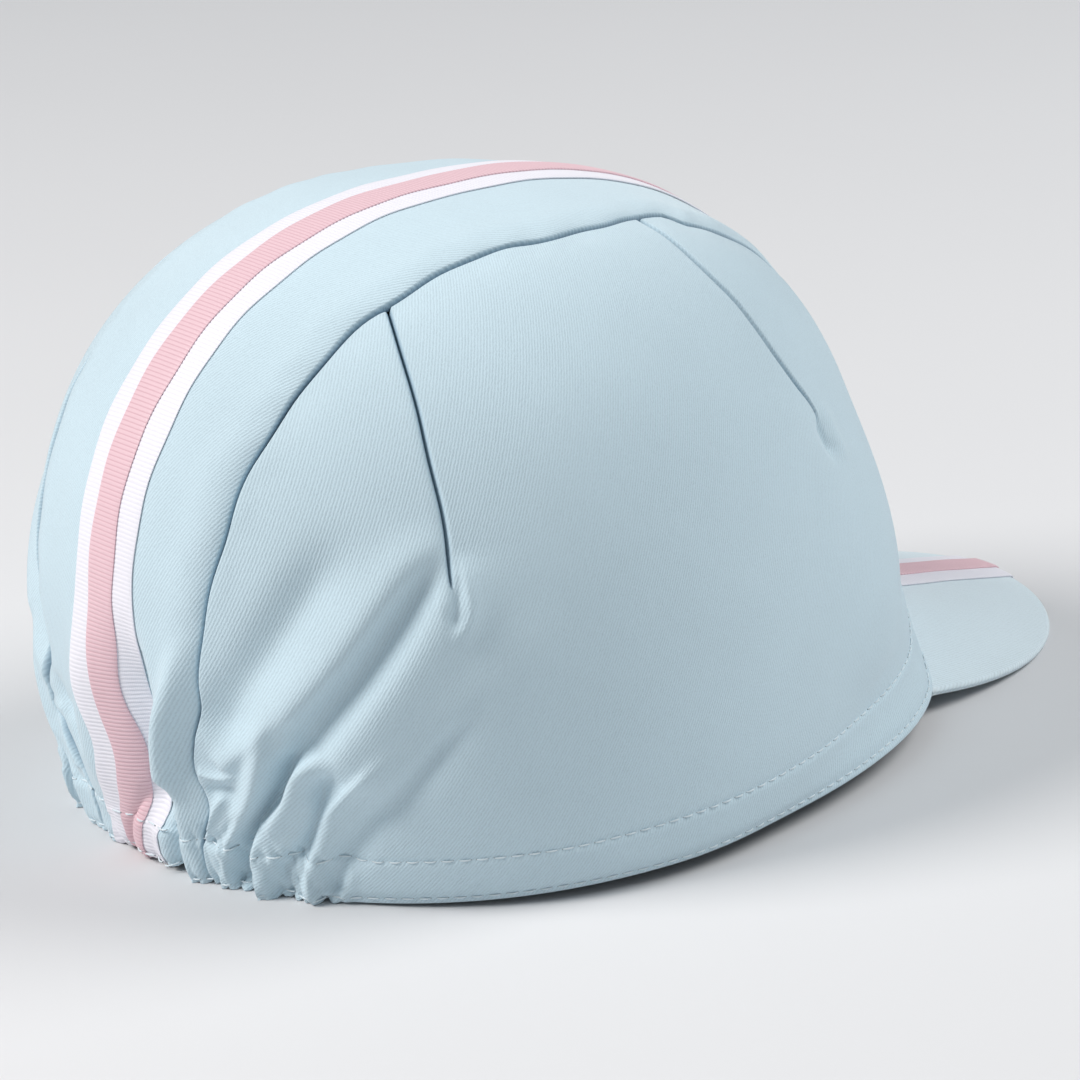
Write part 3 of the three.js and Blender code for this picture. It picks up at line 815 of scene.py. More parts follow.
def cloth_layers(points, normals, kind):
    """The cloth's outer and inner surfaces, and the share to which each point is in a gap, which sets
    where shade is painted.
    """
    above = points[..., 2] - rim_height(bearing_of(points))
    outer, shade = lifted(points, normals, kind)
    outer = outer - normals * edge_setback(above)[..., None]
    inner = outer - normals * wall_at(above)[..., None]
    inner[..., 2] = np.maximum(inner[..., 2], FLOOR_GAP)
    return outer, inner, shade


def spaced(*stretches):
    """Places from the first value on, in stretches of (end, count), evenly within each."""
    places = [np.array([stretches[0]])]
    for (end, count), start in zip(stretches[1:], [stretches[0]] + [s[0] for s in stretches[1:-1]]):
        places.append(np.linspace(start, end, count + 1)[1:])
    return np.concatenate(places)


def shares_at_heights(points, heights):
    """For each row of points up from the rim: the shares of the way at which it is at heights."""
    above = points[..., 2] - rim_height(bearing_of(points))
    share = np.linspace(0, 1, points.shape[1])
    return np.stack([np.interp(heights, line, share) for line in above])


SIDE_ROWS = 150
PATH = 120


def side_panel(side, material):
    panel = SIDES[side]
    tips = [BACK_DART[0, 1], FRONT_DART[0, 1]]
    # Columns lie closest at both seams, in the gathers and along the darts.
    columns = spaced(
        0.0,
        (0.003, 5),
        (0.014, 6),
        (0.2, 84),
        (tips[0] - 0.012, 12),
        (tips[0] + 0.012, 14),
        (tips[1] - 0.01, 60),
        (tips[1] + 0.01, 12),
        (0.988, 34),
        (1.0, 6),
    )

    def across(column, up):
        back = hermite(BACK_DART, 1, np.maximum(up, BACK_DART[0, 0]))
        front = hermite(FRONT_DART, 1, np.maximum(up, FRONT_DART[0, 0]))
        low = column * back / tips[0]
        middle = back + (column - tips[0]) * (front - back) / (tips[1] - tips[0])
        high = 1 - (1 - column) * (1 - front) / (1 - tips[1])
        return np.where(column < tips[0], low, np.where(column < tips[1], middle, high))

    share = np.linspace(0, 1, PATH)[None]
    column = columns[:, None]
    path = crown_towards(panel.direction(across(column, share), share))
    hem = shares_at_heights(path, HEM_ROWS)
    hem[:, 0] = 0
    rest = spaced(0.0, (0.965, SIDE_ROWS), (0.99, 7), (1.0, 7))[1:]
    above = hem[:, -1:] + (1 - hem[:, -1:]) * rest
    up = np.concatenate([hem, above], 1)
    points, normals = crown_patch(panel.direction(across(column, up), up))
    outer, inner, shade = cloth_layers(points, normals, side)
    uv = flat_side(points, side)
    name = "side_panel_right_cloth" if side > 0 else "side_panel_left_cloth"
    return shell(name, outer, inner, uv, material, np.array([side, 0, 0]), shade)


def flat_side(points, side):
    """The side panel laid flat, in millimetres, by its directions from the core."""
    direction = unit(points - CORE)
    aside = np.clip(direction[..., 0] * side, -1, 1)
    angle = np.arccos(aside)
    reach = angle / np.maximum(np.sin(angle), 1e-6) * HALF_WIDTH
    return np.stack([direction[..., 1] * reach * side, direction[..., 2] * reach], -1)


CENTRE_ROWS = 400


def centre_stations():
    """Shares of the way along the centre panel for its rows, at each distance to the right."""
    share = np.linspace(0, 1, 3 * PATH)
    right = np.linspace(-36, 36, 73)[:, None]
    path = crown_towards(band_direction(share[None], right))
    half = len(share) // 2
    halves = (path[:, :half], path[:, ::-1][:, :half])
    back, front = (shares_at_heights(part, HEM_ROWS) * (half - 1) / (len(share) - 1) for part in halves)
    back[:, 0] = front[:, 0] = 0
    middle = np.linspace(0, 1, CENTRE_ROWS + 1)[1:-1]
    low, high = back[:, -1:], 1 - front[:, -1:]
    return right[:, 0], np.concatenate([back, low + (high - low) * middle, 1 - front[:, ::-1]], 1)


STATION_RIGHT, STATIONS = centre_stations()


def station_at(right):
    """The rows' shares at one distance to the right for each row."""
    place = np.interp(right, STATION_RIGHT, np.arange(len(STATION_RIGHT)))
    low = np.clip(place.astype(int), 0, len(STATION_RIGHT) - 2)
    t = place - low
    row = np.arange(STATIONS.shape[1])
    return STATIONS[low, row] * (1 - t) + STATIONS[low + 1, row] * t


def run_along(points):
    """Millimetres from the first row, along the rows of points."""
    steps = np.linalg.norm(np.diff(points, axis=0), axis=-1)
    return np.concatenate([np.zeros((1, *steps.shape[1:])), np.cumsum(steps, 0)])


def centre_panel(material):
    rough = station_at(np.zeros(STATIONS.shape[1]))
    half = spaced(0.0, (0.8, 18), (0.97, 10), (1.0, 6))
    columns = np.concatenate([-half[:0:-1], half])
    rows = []
    for column in columns:
        side = 1 if column >= 0 else -1
        right = column * (seam_distance(rough, side) - EDGE_GAP)
        rows.append((station_at(right), right))
    along = np.stack([row[0] for row in rows], 1)
    right = np.stack([row[1] for row in rows], 1)
    points, normals = crown_patch(band_direction(along, right))
    outer, inner, shade = cloth_layers(points, normals, 0)
    uv = np.stack([right, run_along(points[:, len(half) - 1])[:, None] + 0 * right], -1)
    outward = normals[len(along) // 2, len(half)]
    return shell("center_panel_cloth", outer, inner, uv, material, outward, shade)


RIBBON_GAP = 0.12
TURNED_IN = 12  # rows of the cloth's inner surface that the ribbons are turned in over
CARRIER = np.linspace(-15, 15, 61)  # columns of the cloth that carries the ribbons
MIDDLE = len(CARRIER) // 2


def evened(points, passes):
    """Rows of points smoothed a little: a ribbon is stiffer than the cloth beneath it."""
    for _ in range(passes):
        points = points.copy()
        points[1:-1] = (points[:-2] + 2 * points[1:-1] + points[2:]) / 4
        points[:, 1:-1] = (points[:, :-2] + 2 * points[:, 1:-1] + points[:, 2:]) / 4
    return points


def ribbon_base():
    """The cloth that carries the ribbons, from inside the back hem to the peak.

    It gives the points, their normals, and millimetres across and to the side.
    """
    along = np.stack([station_at(np.full(STATIONS.shape[1], r)) for r in CARRIER], 1)
    points, normals = crown_patch(band_direction(along, CARRIER[None] + 0 * along))
    outer, inner, _ = cloth_layers(points, normals, 0)
    cloth = np.concatenate([inner[TURNED_IN:0:-1], outer])
    carried = evened(cloth, 4)
    facing = unit(np.cross(np.gradient(carried, axis=1), np.gradient(carried, axis=0)))
    halfway = len(normals) // 2
    facing *= np.sign((facing[halfway + TURNED_IN, MIDDLE] * normals[halfway, MIDDLE]).sum())
    # Where the cloth stands out of the smoothed strip, the ribbon lies on the cloth.
    out = np.maximum(((cloth - carried) * facing).sum(-1), 0)
    carried = evened(carried + facing * out[..., None], 1)
    across = run_along(np.swapaxes(carried, 0, 1)).T
    return carried, facing, across - across[:, MIDDLE : MIDDLE + 1]


def wander(run):
    """How far to the side the gathers draw the ribbons, by the length from the back edge."""
    return 1.3 * bell(run, 27, 8) - 1.3 * bell(run, 42, 11) - 4.3 * bell(run, 0, 13)


def ribbon_rows(half_width, columns, wave):
    """Points and normals of a ribbon's underside, and millimetres along and across it."""
    outer, facing, across = ribbon_base()
    length = run_along(outer[:, MIDDLE])
    shape = np.linspace(-1, 1, columns)
    edges = half_width * shape[None] + wave(length)[:, None] * np.abs(shape) ** 3 * np.sign(shape)
    aside = wander(length - length[TURNED_IN])[:, None]
    points = np.empty((len(outer), columns, 3))
    normals = np.empty_like(points)
    for i in range(len(outer)):
        for k in range(3):
            points[i, :, k] = np.interp(edges[i] + aside[i], across[i], outer[i, :, k])
            normals[i, :, k] = np.interp(edges[i] + aside[i], across[i], facing[i, :, k])
    return points, unit(normals), length, edges


def refined(values, run, fine):
    """Rows of values resampled at finer places."""
    flat = values.reshape(len(values), -1)
    made = np.stack([np.interp(fine, run, flat[:, k]) for k in range(flat.shape[1])], -1)
    return made.reshape(len(fine), *values.shape[1:])


RIB_STEPS = 4


def woven_ribbon(name, points, normals, run, edges, out, settings, material):
    """A ribbon whose cross ribs are modelled: it lies out from the points that carry it."""
    fine = np.arange(run[0], run[-1], settings.rib_pitch / MM / RIB_STEPS)
    points, normals, edges = (refined(x, run, fine) for x in (points, normals, edges))
    rib = np.abs(np.sin(np.pi * fine / (settings.rib_pitch / MM)))[:, None]
    reach = np.abs(edges) / np.abs(edges).max(1, keepdims=True)
    body = smoothstep(1.0, 0.9, reach)
    wall = settings.thickness / MM
    top = out + wall * (0.55 + 0.45 * body) + settings.rib_height / MM * (rib - 1) * body
    outer = points + normals * top[..., None]
    inner = points + normals * (out + 0 * top)[..., None]
    for layer in (outer, inner):
        layer[..., 2] = np.maximum(layer[..., 2], FLOOR_GAP / 2)
    uv = np.stack([edges, fine[:, None] + 0 * edges], -1)
    return shell(name, outer, inner, uv, material, normals[len(fine) // 2, edges.shape[1] // 2])


def edge_wave(phase):
    def wave(run):
        return 0.16 * np.sin(run / 3.1 + phase) + 0.14 * np.sin(run / 7.3 + 2 * phase)

    return wave


# Peak


def root_at(right):
    return rim_at(rim_bearing(right, True))


def peak_edge(right):
    across = np.minimum(np.abs(right) / PEAK_HALF_WIDTH, 1)
    share = (1 - across**PEAK_CORNER_POWER) ** (1 / PEAK_CORNER_POWER)
    corner = root_at(np.array([PEAK_HALF_WIDTH]))[0, 1] + PEAK_CORNER
    return corner + (TIP - corner) * share


def slope_fall(distance):
    return PEAK_SLOPE * distance + PEAK_CURL * distance**2 / 2


PEAK_STAND = 1.9  # how high above the surface the slope ends at its lowest
PEAK_UNDER = 0.3  # how far the upper face lies below the hem's edge
SEWN_IN = 2.2  # how far the peak reaches in behind the hem
CORNER_TUCK = 0.5
RIBBON_SEWN_IN = 1.5


def peak_droop():
    """The share of the slope at which the peak's lowest edge is on the surface it stands on."""
    right = np.linspace(0, PEAK_HALF_WIDTH, 100, endpoint=False)
    root = root_at(right)
    return float(np.min((root[:, 2] - PEAK_STAND) / slope_fall(peak_edge(right) - root[:, 1])))


PEAK_DROOP = peak_droop()


def peak_top(right, distance):
    """Points of the peak's upper face at distances in front of its root."""
    root = root_at(right)
    height = root[..., 2] - PEAK_UNDER - PEAK_DROOP * slope_fall(distance)
    return np.stack(np.broadcast_arrays(right, root[..., 1] + distance, height), -1)


def peak_normals(points):
    normals = unit(np.cross(np.gradient(points, axis=0), np.gradient(points, axis=1)))
    return normals * np.sign(normals[..., 2:])


def peak(settings, material):
    """A thin stiff core covered in cloth, with the cover's seam along the middle of its edge."""
    half = settings.thickness / MM / 2
    angle = np.linspace(-np.pi / 2, np.pi / 2, 111)
    # The corners stand in far enough for the rounded edge to tuck in behind the crown's hem.
    right = (PEAK_HALF_WIDTH - half - CORNER_TUCK) * np.sin(angle)[:, None]
    length = peak_edge(PEAK_HALF_WIDTH * np.sin(angle)[:, None]) - root_at(right)[..., 1]
    share = spaced(0.0, (0.9, 42), (1.0, 12))[None]
    distance = (length - half + SEWN_IN) * share - SEWN_IN
    top = peak_top(right, distance)
    normals = peak_normals(top)
    # The edge is half round, with a fine groove along its middle.
    turn = np.radians([12, 30, 48, 64, 78, 86, 90, 94, 102, 116, 132, 150, 168])
    groove = (1 - 0.16 * bell(turn, np.pi / 2, 0.13))[None, :, None]
    up, ahead = np.cos(turn)[None, :, None], np.sin(turn)[None, :, None]
    rim = top[:, -1] - normals[:, -1] * half
    outward = unit(np.cross(normals[:, -1], np.gradient(top[:, -1], axis=0)))
    away = np.concatenate([2 * right / PEAK_HALF_WIDTH, 1 + 0 * right, 0 * right], 1)
    outward *= np.sign((outward * away).sum(-1))[:, None]
    edge = rim[:, None] + half * (groove * (normals[:, -1, None] * up + outward[:, None] * ahead))
    under = (top - normals * 2 * half)[:, ::-1]
    loop = np.concatenate([top, edge, under], 1)
    loop[..., 2] = np.maximum(loop[..., 2], FLOOR_GAP)
    rows, columns = loop.shape[:2]
    run = run_along(np.swapaxes(loop, 0, 1)).T
    uv = np.stack([right + 0 * run, run], -1)
    i = np.arange(rows - 1) * columns
    back = np.stack([i, i + columns, i + 2 * columns - 1, i + columns - 1], -1)
    k = np.arange((columns + 1) // 2 - 1)
    side = np.stack([k, columns - 1 - k, columns - 2 - k, k + 1], -1)
    faces = [grid_faces(rows, columns), back, side[:, ::-1], (rows - 1) * columns + side]
    centre = len(top) // 2
    facing = np.cross(loop[centre, 6] - loop[centre, 5], loop[centre + 1, 5] - loop[centre, 5])
    if facing[2] < 0:
        faces = [part[:, ::-1] for part in faces]
    return mesh_object("peak_cover", loop.reshape(-1, 3), faces, material, uv.reshape(-1, 2))


def peak_ribbon(name, half_width, out, settings, peak_settings, material):
    half = peak_settings.thickness / MM / 2
    across = np.linspace(-half_width, half_width, 17)
    length = peak_edge(across) - root_at(across)[:, 1]
    share = np.linspace(0, 1, 90)[:, None]
    distance = (length - half + RIBBON_SEWN_IN) * share - RIBBON_SEWN_IN
    top = peak_top(across[None] + 0 * distance, distance)
    normals = peak_normals(top)
    turn = np.radians([18, 38, 58, 76])[:, None]
    middle = top[-1] - normals[-1] * half
    ahead = np.stack([0 * across, np.ones(len(across)), 0 * across], -1)
    bend = normals[-1] * np.cos(turn)[..., None] + ahead * np.sin(turn)[..., None]
    points = np.concatenate([top, middle + half * bend])
    normals = np.concatenate([normals, bend])
    edges = across[None] + 0.1 * np.sin(np.arange(len(points)) / 5)[:, None] * np.sign(across)
    points[..., 0] = edges
    run = run_along(points[:, len(across) // 2])
    return woven_ribbon(name, points, normals, run, edges, out, settings, material)


# Stitches

STITCH_SIDES = 6


def stitch_tubes(name, starts, middles, ends, normals, radius, material):
    """Short arched threads that dive into the cloth at both ends."""
    share = np.array([0, 0.06, 0.15, 0.35, 0.65, 0.85, 0.94, 1])[:, None, None]
    line = (1 - share) ** 2 * starts + 2 * share * (1 - share) * middles + share**2 * ends
    arch = (np.sin(np.pi * share) ** 0.6) * (radius * 1.6) - radius * 0.55
    line = line + arch * normals
    ahead = unit(ends - starts)[None]
    aside = unit(np.cross(ahead, normals[None]))
    thick = radius * (0.55 + 0.45 * np.sin(np.pi * share)) + 0 * line[..., :1]
    angle = np.linspace(0, 2 * np.pi, STITCH_SIDES, endpoint=False)
    rings = (
        line[:, :, None]
        + aside[..., None, :] * (thick * np.cos(angle))[..., None]
        + normals[None, :, None] * (thick * np.sin(angle))[..., None]
    )
    rings = np.swapaxes(rings, 0, 1)
    count, steps = rings.shape[:2]
    points = rings.reshape(-1, 3)
    base = (np.arange(count) * steps * STITCH_SIDES)[:, None, None]
    i, j = np.meshgrid(np.arange(steps - 1), np.arange(STITCH_SIDES), indexing="ij")
    k = (j + 1) % STITCH_SIDES
    near, far = i * STITCH_SIDES, (i + 1) * STITCH_SIDES
    quad = np.stack([near + j, near + k, far + k, far + j], -1)
    quads = (base + quad.reshape(1, -1, 4)).reshape(-1, 4)
    first = np.arange(STITCH_SIDES)
    caps = (base + np.stack([first[::-1], (steps - 1) * STITCH_SIDES + first])).reshape(-1, STITCH_SIDES)
    along = share.reshape(1, -1, 1) + 0 * thick.transpose(1, 0, 2)
    uv = np.stack([np.broadcast_to(angle, (count, steps, STITCH_SIDES)), along + 0 * angle], -1)
    return mesh_object(name, points, [quads, caps], material, uv.reshape(-1, 2))


def crown_kind(points):
    """0 where the centre panel is, 1 or -1 at the side panels."""
    bearing = bearing_of(points)
    back = np.abs(bearing) < np.pi / 2
    half = HALF_WIDTH * np.where(back, SEAMS[1, 1], SEAMS[-1, 1])
    return np.where(np.abs(points[..., 0]) < half, 0, np.sign(points[..., 0])).astype(int)


def hem_stitches(settings, material):
    """Two rows of stitches round the whole hem. Each lies on the cloth that it holds."""
    pitch = settings.pitch / MM
    length = settings.length / MM
    radius = settings.thread / MM / 2
    parts = []
    for above in (LOW_ROW, HEM_HEIGHT):
        bearing = np.linspace(-np.pi, np.pi, 4001)
        ring = crown_at(bearing, rim_height(bearing) + above)
        run = np.concatenate([[0], np.cumsum(np.linalg.norm(np.diff(ring, axis=0), axis=1))])
        starts = np.arange(0, run[-1] - pitch, pitch)
        places = np.stack([np.interp(starts + share * length, run, bearing) for share in (0, 0.5, 1)])
        smooth = crown_at(places, rim_height(places) + above)
        points, normals = crown_patch(unit(smooth - CORE))
        kind = crown_kind(points[1])
        surface = np.empty_like(points)
        for value in (0, 1, -1):
            chosen = kind == value
            surface[:, chosen] = lifted(points[:, chosen], normals[:, chosen], value)[0]
        raised = (kind == 0) & (np.abs(points[1, :, 0]) < RIBBON_HALF)
        surface += normals * np.where(raised, settings.over_ribbon / MM, 0)[None, :, None]
        parts.append((surface, normals))
    surface = np.concatenate([part[0] for part in parts], 1)
    normals = np.concatenate([part[1] for part in parts], 1)
    middle = 2 * surface[1] - (surface[0] + surface[2]) / 2
    return stitch_tubes("hem_stitches", surface[0], middle, surface[2], normals[1], radius, material)


# Materials


def linear(code):
    """An sRGB hex colour as linear numbers."""
    parts = [int(code[i : i + 2], 16) / 255 for i in (1, 3, 5)]
    return tuple(c / 12.92 if c <= 0.04045 else ((c + 0.055) / 1.055) ** 2.4 for c in parts)


def add(tree, kind, inputs=None, **settings):
    """Adds a node. An input is given a number or colour, or the socket to link to it."""
    made = tree.nodes.new(kind)
    for name, value in settings.items():
        setattr(made, name, value)
    for name, value in (inputs or {}).items():
        if isinstance(value, bpy.types.NodeSocket):
            tree.links.new(value, made.inputs[name])
        else:
            made.inputs[name].default_value = value
    return made


def new_material(name):
    material = bpy.data.materials.new(name)
    material.use_nodes = True
    tree = material.node_tree
    tree.nodes.clear()
    return material, tree


def toned(colour, share):
    return tuple(c * share for c in colour) + (1.0,)


def set_stops(ramp, *stops):
    """Gives a colour ramp's node its stops, as places and colours in rising order."""
    elements = ramp.color_ramp.elements
    while len(elements) < len(stops):
        elements.new(1)
    for element, (position, colour) in zip(elements, stops):
        element.position, element.color = position, colour


# Painted shade: the colour that the cloth is darkened to in the gaps between sewn edges.
PAINTED_GAP_SHADE = (0.36, 0.47, 0.56)
WAVE = 2 * math.pi / 20  # a wave texture's scale for a pitch of 1
TWILL_ANGLE = 63  # degrees, how steep the twill's ribs are
WARP_PITCH = 0.4


# Woven cotton twill. Its steep diagonal ribs show as fine slanting lines, drawn at 0.62 mm because
# real ones, about 0.4 mm apart, don't show. Its short fibres stand up, so the eye sees matt cloth
# without gloss, with a pale bloom where it turns away. Its colour has a random cloudy mottle, and
# painted light from the relief: painted highlight on the ribs and fuzz, painted shade between the
# ribs. Gaps between sewn edges are painted darker and bluer, as painted shade.
def woven_twill(name, colour, pitch):
    material, tree = new_material(name)
    place = add(tree, "ShaderNodeUVMap", uv_map=CLOTH_MAP).outputs["UV"]
    turn = (0, 0, math.radians(90 - TWILL_ANGLE))
    turned = add(tree, "ShaderNodeMapping", {"Vector": place, "Rotation": turn}).outputs["Vector"]
    # The diagonal ribs, a little uneven as yarns are
    uneven = {"Distortion": 2.6, "Detail": 4.0, "Detail Scale": 2.6}
    inputs = {"Vector": turned, "Scale": WAVE / pitch, **uneven}
    ribs = add(tree, "ShaderNodeTexWave", inputs, bands_direction="X").outputs["Fac"]
    # The yarns' fuzz and slubs, drawn at 0.4 mm because single fibres don't show
    inputs = {"Vector": place, "Scale": 2.4, "Detail": 3.0, "Roughness": 0.6}
    fuzz = add(tree, "ShaderNodeTexNoise", inputs)
    cloudy = add(tree, "ShaderNodeTexNoise", {"Vector": place, "Scale": 0.06, "Detail": 2.0})
    inputs = {0: ribs, 1: 0.55, 2: fuzz.outputs["Fac"]}
    relief = add(tree, "ShaderNodeMath", inputs, operation="MULTIPLY_ADD").outputs[0]
    bump = add(tree, "ShaderNodeBump", {"Height": relief, "Strength": 0.55, "Distance": 0.00016})
    # The colour is a random cloudy mottle, plus painted light from the relief: painted highlight on the
    # ribs' crowns and the fuzz, painted shade between the ribs.
    inputs = {0: cloudy.outputs["Fac"], 1: 0.3, 2: relief}
    mottle_and_painted_rib_light = add(tree, "ShaderNodeMath", inputs, operation="MULTIPLY_ADD").outputs[0]
    ramp = add(tree, "ShaderNodeValToRGB", {"Fac": mottle_and_painted_rib_light})
    set_stops(ramp, (0.4, toned(colour, 0.87)), (1.0, toned(colour, 1.06)))
    # Painted shade: the cloth is darkened and made bluer where it lies in a gap between sewn edges.
    in_gap = add(tree, "ShaderNodeAttribute", attribute_name=SEAM_SHADE).outputs["Fac"]
    dark = toned(np.array(PAINTED_GAP_SHADE) * colour, 1)
    inputs = {0: in_gap, 6: ramp.outputs["Color"], 7: dark}
    shaded = add(tree, "ShaderNodeMix", inputs, data_type="RGBA")
    surface = add(
        tree,
        "ShaderNodeBsdfPrincipled",
        {
            "Base Color": shaded.outputs[2],
            "Roughness": 0.86,
            "Specular IOR Level": 0.3,
            "Sheen Weight": 0.3,
            "Sheen Roughness": 0.45,
            "Normal": bump.outputs["Normal"],
        },
    )
    add(tree, "ShaderNodeOutputMaterial", {"Surface": surface.outputs["BSDF"]})
    return material


# Woven polyester grosgrain. Its cross ribs are rounded cords, so the eye sees satin lines of gloss
# on their crowns, with dull gaps between them that are painted darker, as painted shade.
def grosgrain(name, colour, between, rib_pitch):
    material, tree = new_material(name)
    place = add(tree, "ShaderNodeUVMap", uv_map=CLOTH_MAP).outputs["UV"]
    parts = add(tree, "ShaderNodeSeparateXYZ", {"Vector": place})
    inputs = {0: parts.outputs["Y"], 1: math.pi / rib_pitch}
    phase = add(tree, "ShaderNodeMath", inputs, operation="MULTIPLY")
    wave = add(tree, "ShaderNodeMath", {0: phase.outputs[0]}, operation="SINE")
    rib = add(tree, "ShaderNodeMath", {0: wave.outputs[0]}, operation="ABSOLUTE").outputs[0]
    # Fine warp threads that run along the ribbon, drawn at 0.4 mm because real ones don't show
    inputs = {"Vector": place, "Scale": WAVE / WARP_PITCH, "Distortion": 0.5, "Detail": 1.0}
    warp = add(tree, "ShaderNodeTexWave", inputs, bands_direction="X").outputs["Fac"]
    relief = add(tree, "ShaderNodeMath", {0: warp, 1: 0.3, 2: rib}, operation="MULTIPLY_ADD").outputs[0]
    bump = add(tree, "ShaderNodeBump", {"Height": relief, "Strength": 0.35, "Distance": 0.0001})
    # Painted shade: the colour darkens from the ribs' crowns into the gaps between them.
    ramp = add(tree, "ShaderNodeValToRGB", {"Fac": rib})
    set_stops(ramp, (0.05, (*between, 1)), (0.6, (*colour, 1)))
    surface = add(
        tree,
        "ShaderNodeBsdfPrincipled",
        {
            "Base Color": ramp.outputs["Color"],
            "Roughness": 0.5,
            "Specular IOR Level": 0.4,
            "Sheen Weight": 0.1,
            "Normal": bump.outputs["Normal"],
        },
    )
    add(tree, "ShaderNodeOutputMaterial", {"Surface": surface.outputs["BSDF"]})
    return material


# Spun polyester sewing thread. Its two twisted plies show as slanting strands with a faint gloss.
# Its colour is painted darker at both ends, as painted shade where it goes down into the needle's holes.
def spun_thread(name, colour):
    material, tree = new_material(name)
    place = add(tree, "ShaderNodeUVMap", uv_map=CLOTH_MAP).outputs["UV"]
    inputs = {"Vector": place, "Scale": 0.9, "Distortion": 0.3}
    plies = add(tree, "ShaderNodeTexWave", inputs, bands_direction="DIAGONAL").outputs["Fac"]
    bump = add(tree, "ShaderNodeBump", {"Height": plies, "Strength": 0.4, "Distance": 0.00006})
    run = add(tree, "ShaderNodeSeparateXYZ", {"Vector": place}).outputs["Y"]
    # Painted shade at both ends of each stitch.
    ramp = add(tree, "ShaderNodeValToRGB", {"Fac": run})
    dark, plain = toned(colour, 0.4), toned(colour, 1.0)
    set_stops(ramp, (0.03, dark), (0.09, plain), (0.91, plain), (0.97, dark))
    surface = add(
        tree,
        "ShaderNodeBsdfPrincipled",
        {
            "Base Color": ramp.outputs["Color"],
            "Roughness": 0.55,
            "Sheen Weight": 0.1,
            "Normal": bump.outputs["Normal"],
        },
    )
    add(tree, "ShaderNodeOutputMaterial", {"Surface": surface.outputs["BSDF"]})
    return material


# Matt card. Its felted fibres give a very faint mottling and no gloss.
def matt_card(name, colour):
    material, tree = new_material(name)
    place = add(tree, "ShaderNodeTexCoord").outputs["Object"]
    mottle = add(tree, "ShaderNodeTexNoise", {"Vector": place, "Scale": 9.0, "Detail": 3.0})
    ramp = add(tree, "ShaderNodeValToRGB", {"Fac": mottle.outputs["Fac"]})
    set_stops(ramp, (0, toned(colour, 0.98)), (1, toned(colour, 1.0)))
    inputs = {"Base Color": ramp.outputs["Color"], "Roughness": 0.95}
    surface = add(tree, "ShaderNodeBsdfPrincipled", inputs)
    add(tree, "ShaderNodeOutputMaterial", {"Surface": surface.outputs["BSDF"]})
    return material


# What a user can set


def length_setting(name, description, millimetres):
    return bpy.props.FloatProperty(
        name=name, description=description, unit="LENGTH", default=millimetres * MM
    )


def colour_setting(name, description, code):
    return bpy.props.FloatVectorProperty(
        name=name, description=description, size=3, subtype="COLOR", default=linear(code)
    )


class CapCloth(bpy.types.PropertyGroup):
    colour: colour_setting("Twill", "Colour of the panels", "#C3D8E2")
    # The peak's colour is the twill's painted paler, as painted light on its upturned face.
    peak: colour_setting("Peak", "Colour of the peak's cloth", "#D6E5EC")
    pitch: length_setting("Rib pitch", "Distance between the twill's diagonal ribs", 0.62)


class CapRibbons(bpy.types.PropertyGroup):
    wide: length_setting("White width", "Width of the white ribbon", 18.6)
    narrow: length_setting("Pink width", "Width of the pink ribbon", 7.5)
    thickness: length_setting("Thickness", "Thickness of each ribbon", 0.42)
    rib_pitch: length_setting("Rib pitch", "Distance between the ribs", 0.92)
    rib_height: length_setting("Rib height", "How far the ribs stand out", 0.09)
    white: colour_setting("White", "Colour of the wide ribbon", "#EBEAF2")
    # The gap colours are painted shade between the ribs.
    white_gap_shade: colour_setting("White gaps", "Colour between the wide ribbon's ribs", "#E2E2EB")
    pink: colour_setting("Pink", "Colour of the narrow ribbon", "#E3C2CA")
    pink_gap_shade: colour_setting("Pink gaps", "Colour between the narrow ribbon's ribs", "#D1A8B2")


class CapPeak(bpy.types.PropertyGroup):
    thickness: length_setting("Thickness", "Thickness of the covered peak", 1.9)


class CapStitches(bpy.types.PropertyGroup):
    pitch: length_setting("Pitch", "Distance from stitch to stitch", STITCH_PITCH)
    length: length_setting("Length", "Length of thread that shows", 2.6)
    thread: length_setting("Thread", "Diameter of the thread", 0.42)
    over_ribbon: length_setting("Over the ribbon", "How far out the stitches lie on the ribbons", 1.0)
    colour: colour_setting("Thread colour", "Colour of the thread", "#DDEAF0")


class CapStage(bpy.types.PropertyGroup):
    floor: colour_setting("Floor", "Colour of the floor", "#D9DADC")
    lens: bpy.props.FloatProperty(
        name="Lens", description="Focal length of the camera", unit="CAMERA", default=190.7
    )


def join_to_frame(piece, slot, *nodes):
    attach(piece, BODY)
    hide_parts(*nodes)


class CapOperator(bpy.types.Operator):
    bl_options = {"REGISTER"}


def cloth_material(context, name, colour):
    known = bpy.data.materials.get(name)
    return known or woven_twill(name, colour, context.scene.cap_cloth.pitch / MM)


def twill(context):
    return cloth_material(context, "cotton_twill", context.scene.cap_cloth.colour)


# The same cloth, stretched smooth over a stiff core, in a copy painted a little paler: painted light,
# standing for the peak's upturned face taking more light.
def peak_twill(context):
    return cloth_material(context, "peak_cotton_twill_painted_paler", context.scene.cap_cloth.peak)


# The camera's direction and roll in degrees, and the point that it aims at: its height, and how
# far from there to the camera's right and up, in millimetres
CAMERA_BEARING = 49.036
CAMERA_HEIGHT = 19.571
CAMERA_ROLL = -0.858
CAMERA_DISTANCE = 1200
AIM_HEIGHT = 50.0
AIM_RIGHT = 18.725
AIM_UP = -0.396
SENSOR_WIDTH = 36

FLOOR_HALF = 14  # metres
WARM, PLAIN = (1, 0.955, 0.925), (1, 0.985, 0.97)
SKY, SKY_STRENGTH = (0.85, 0.93, 1.0, 1), 0.27

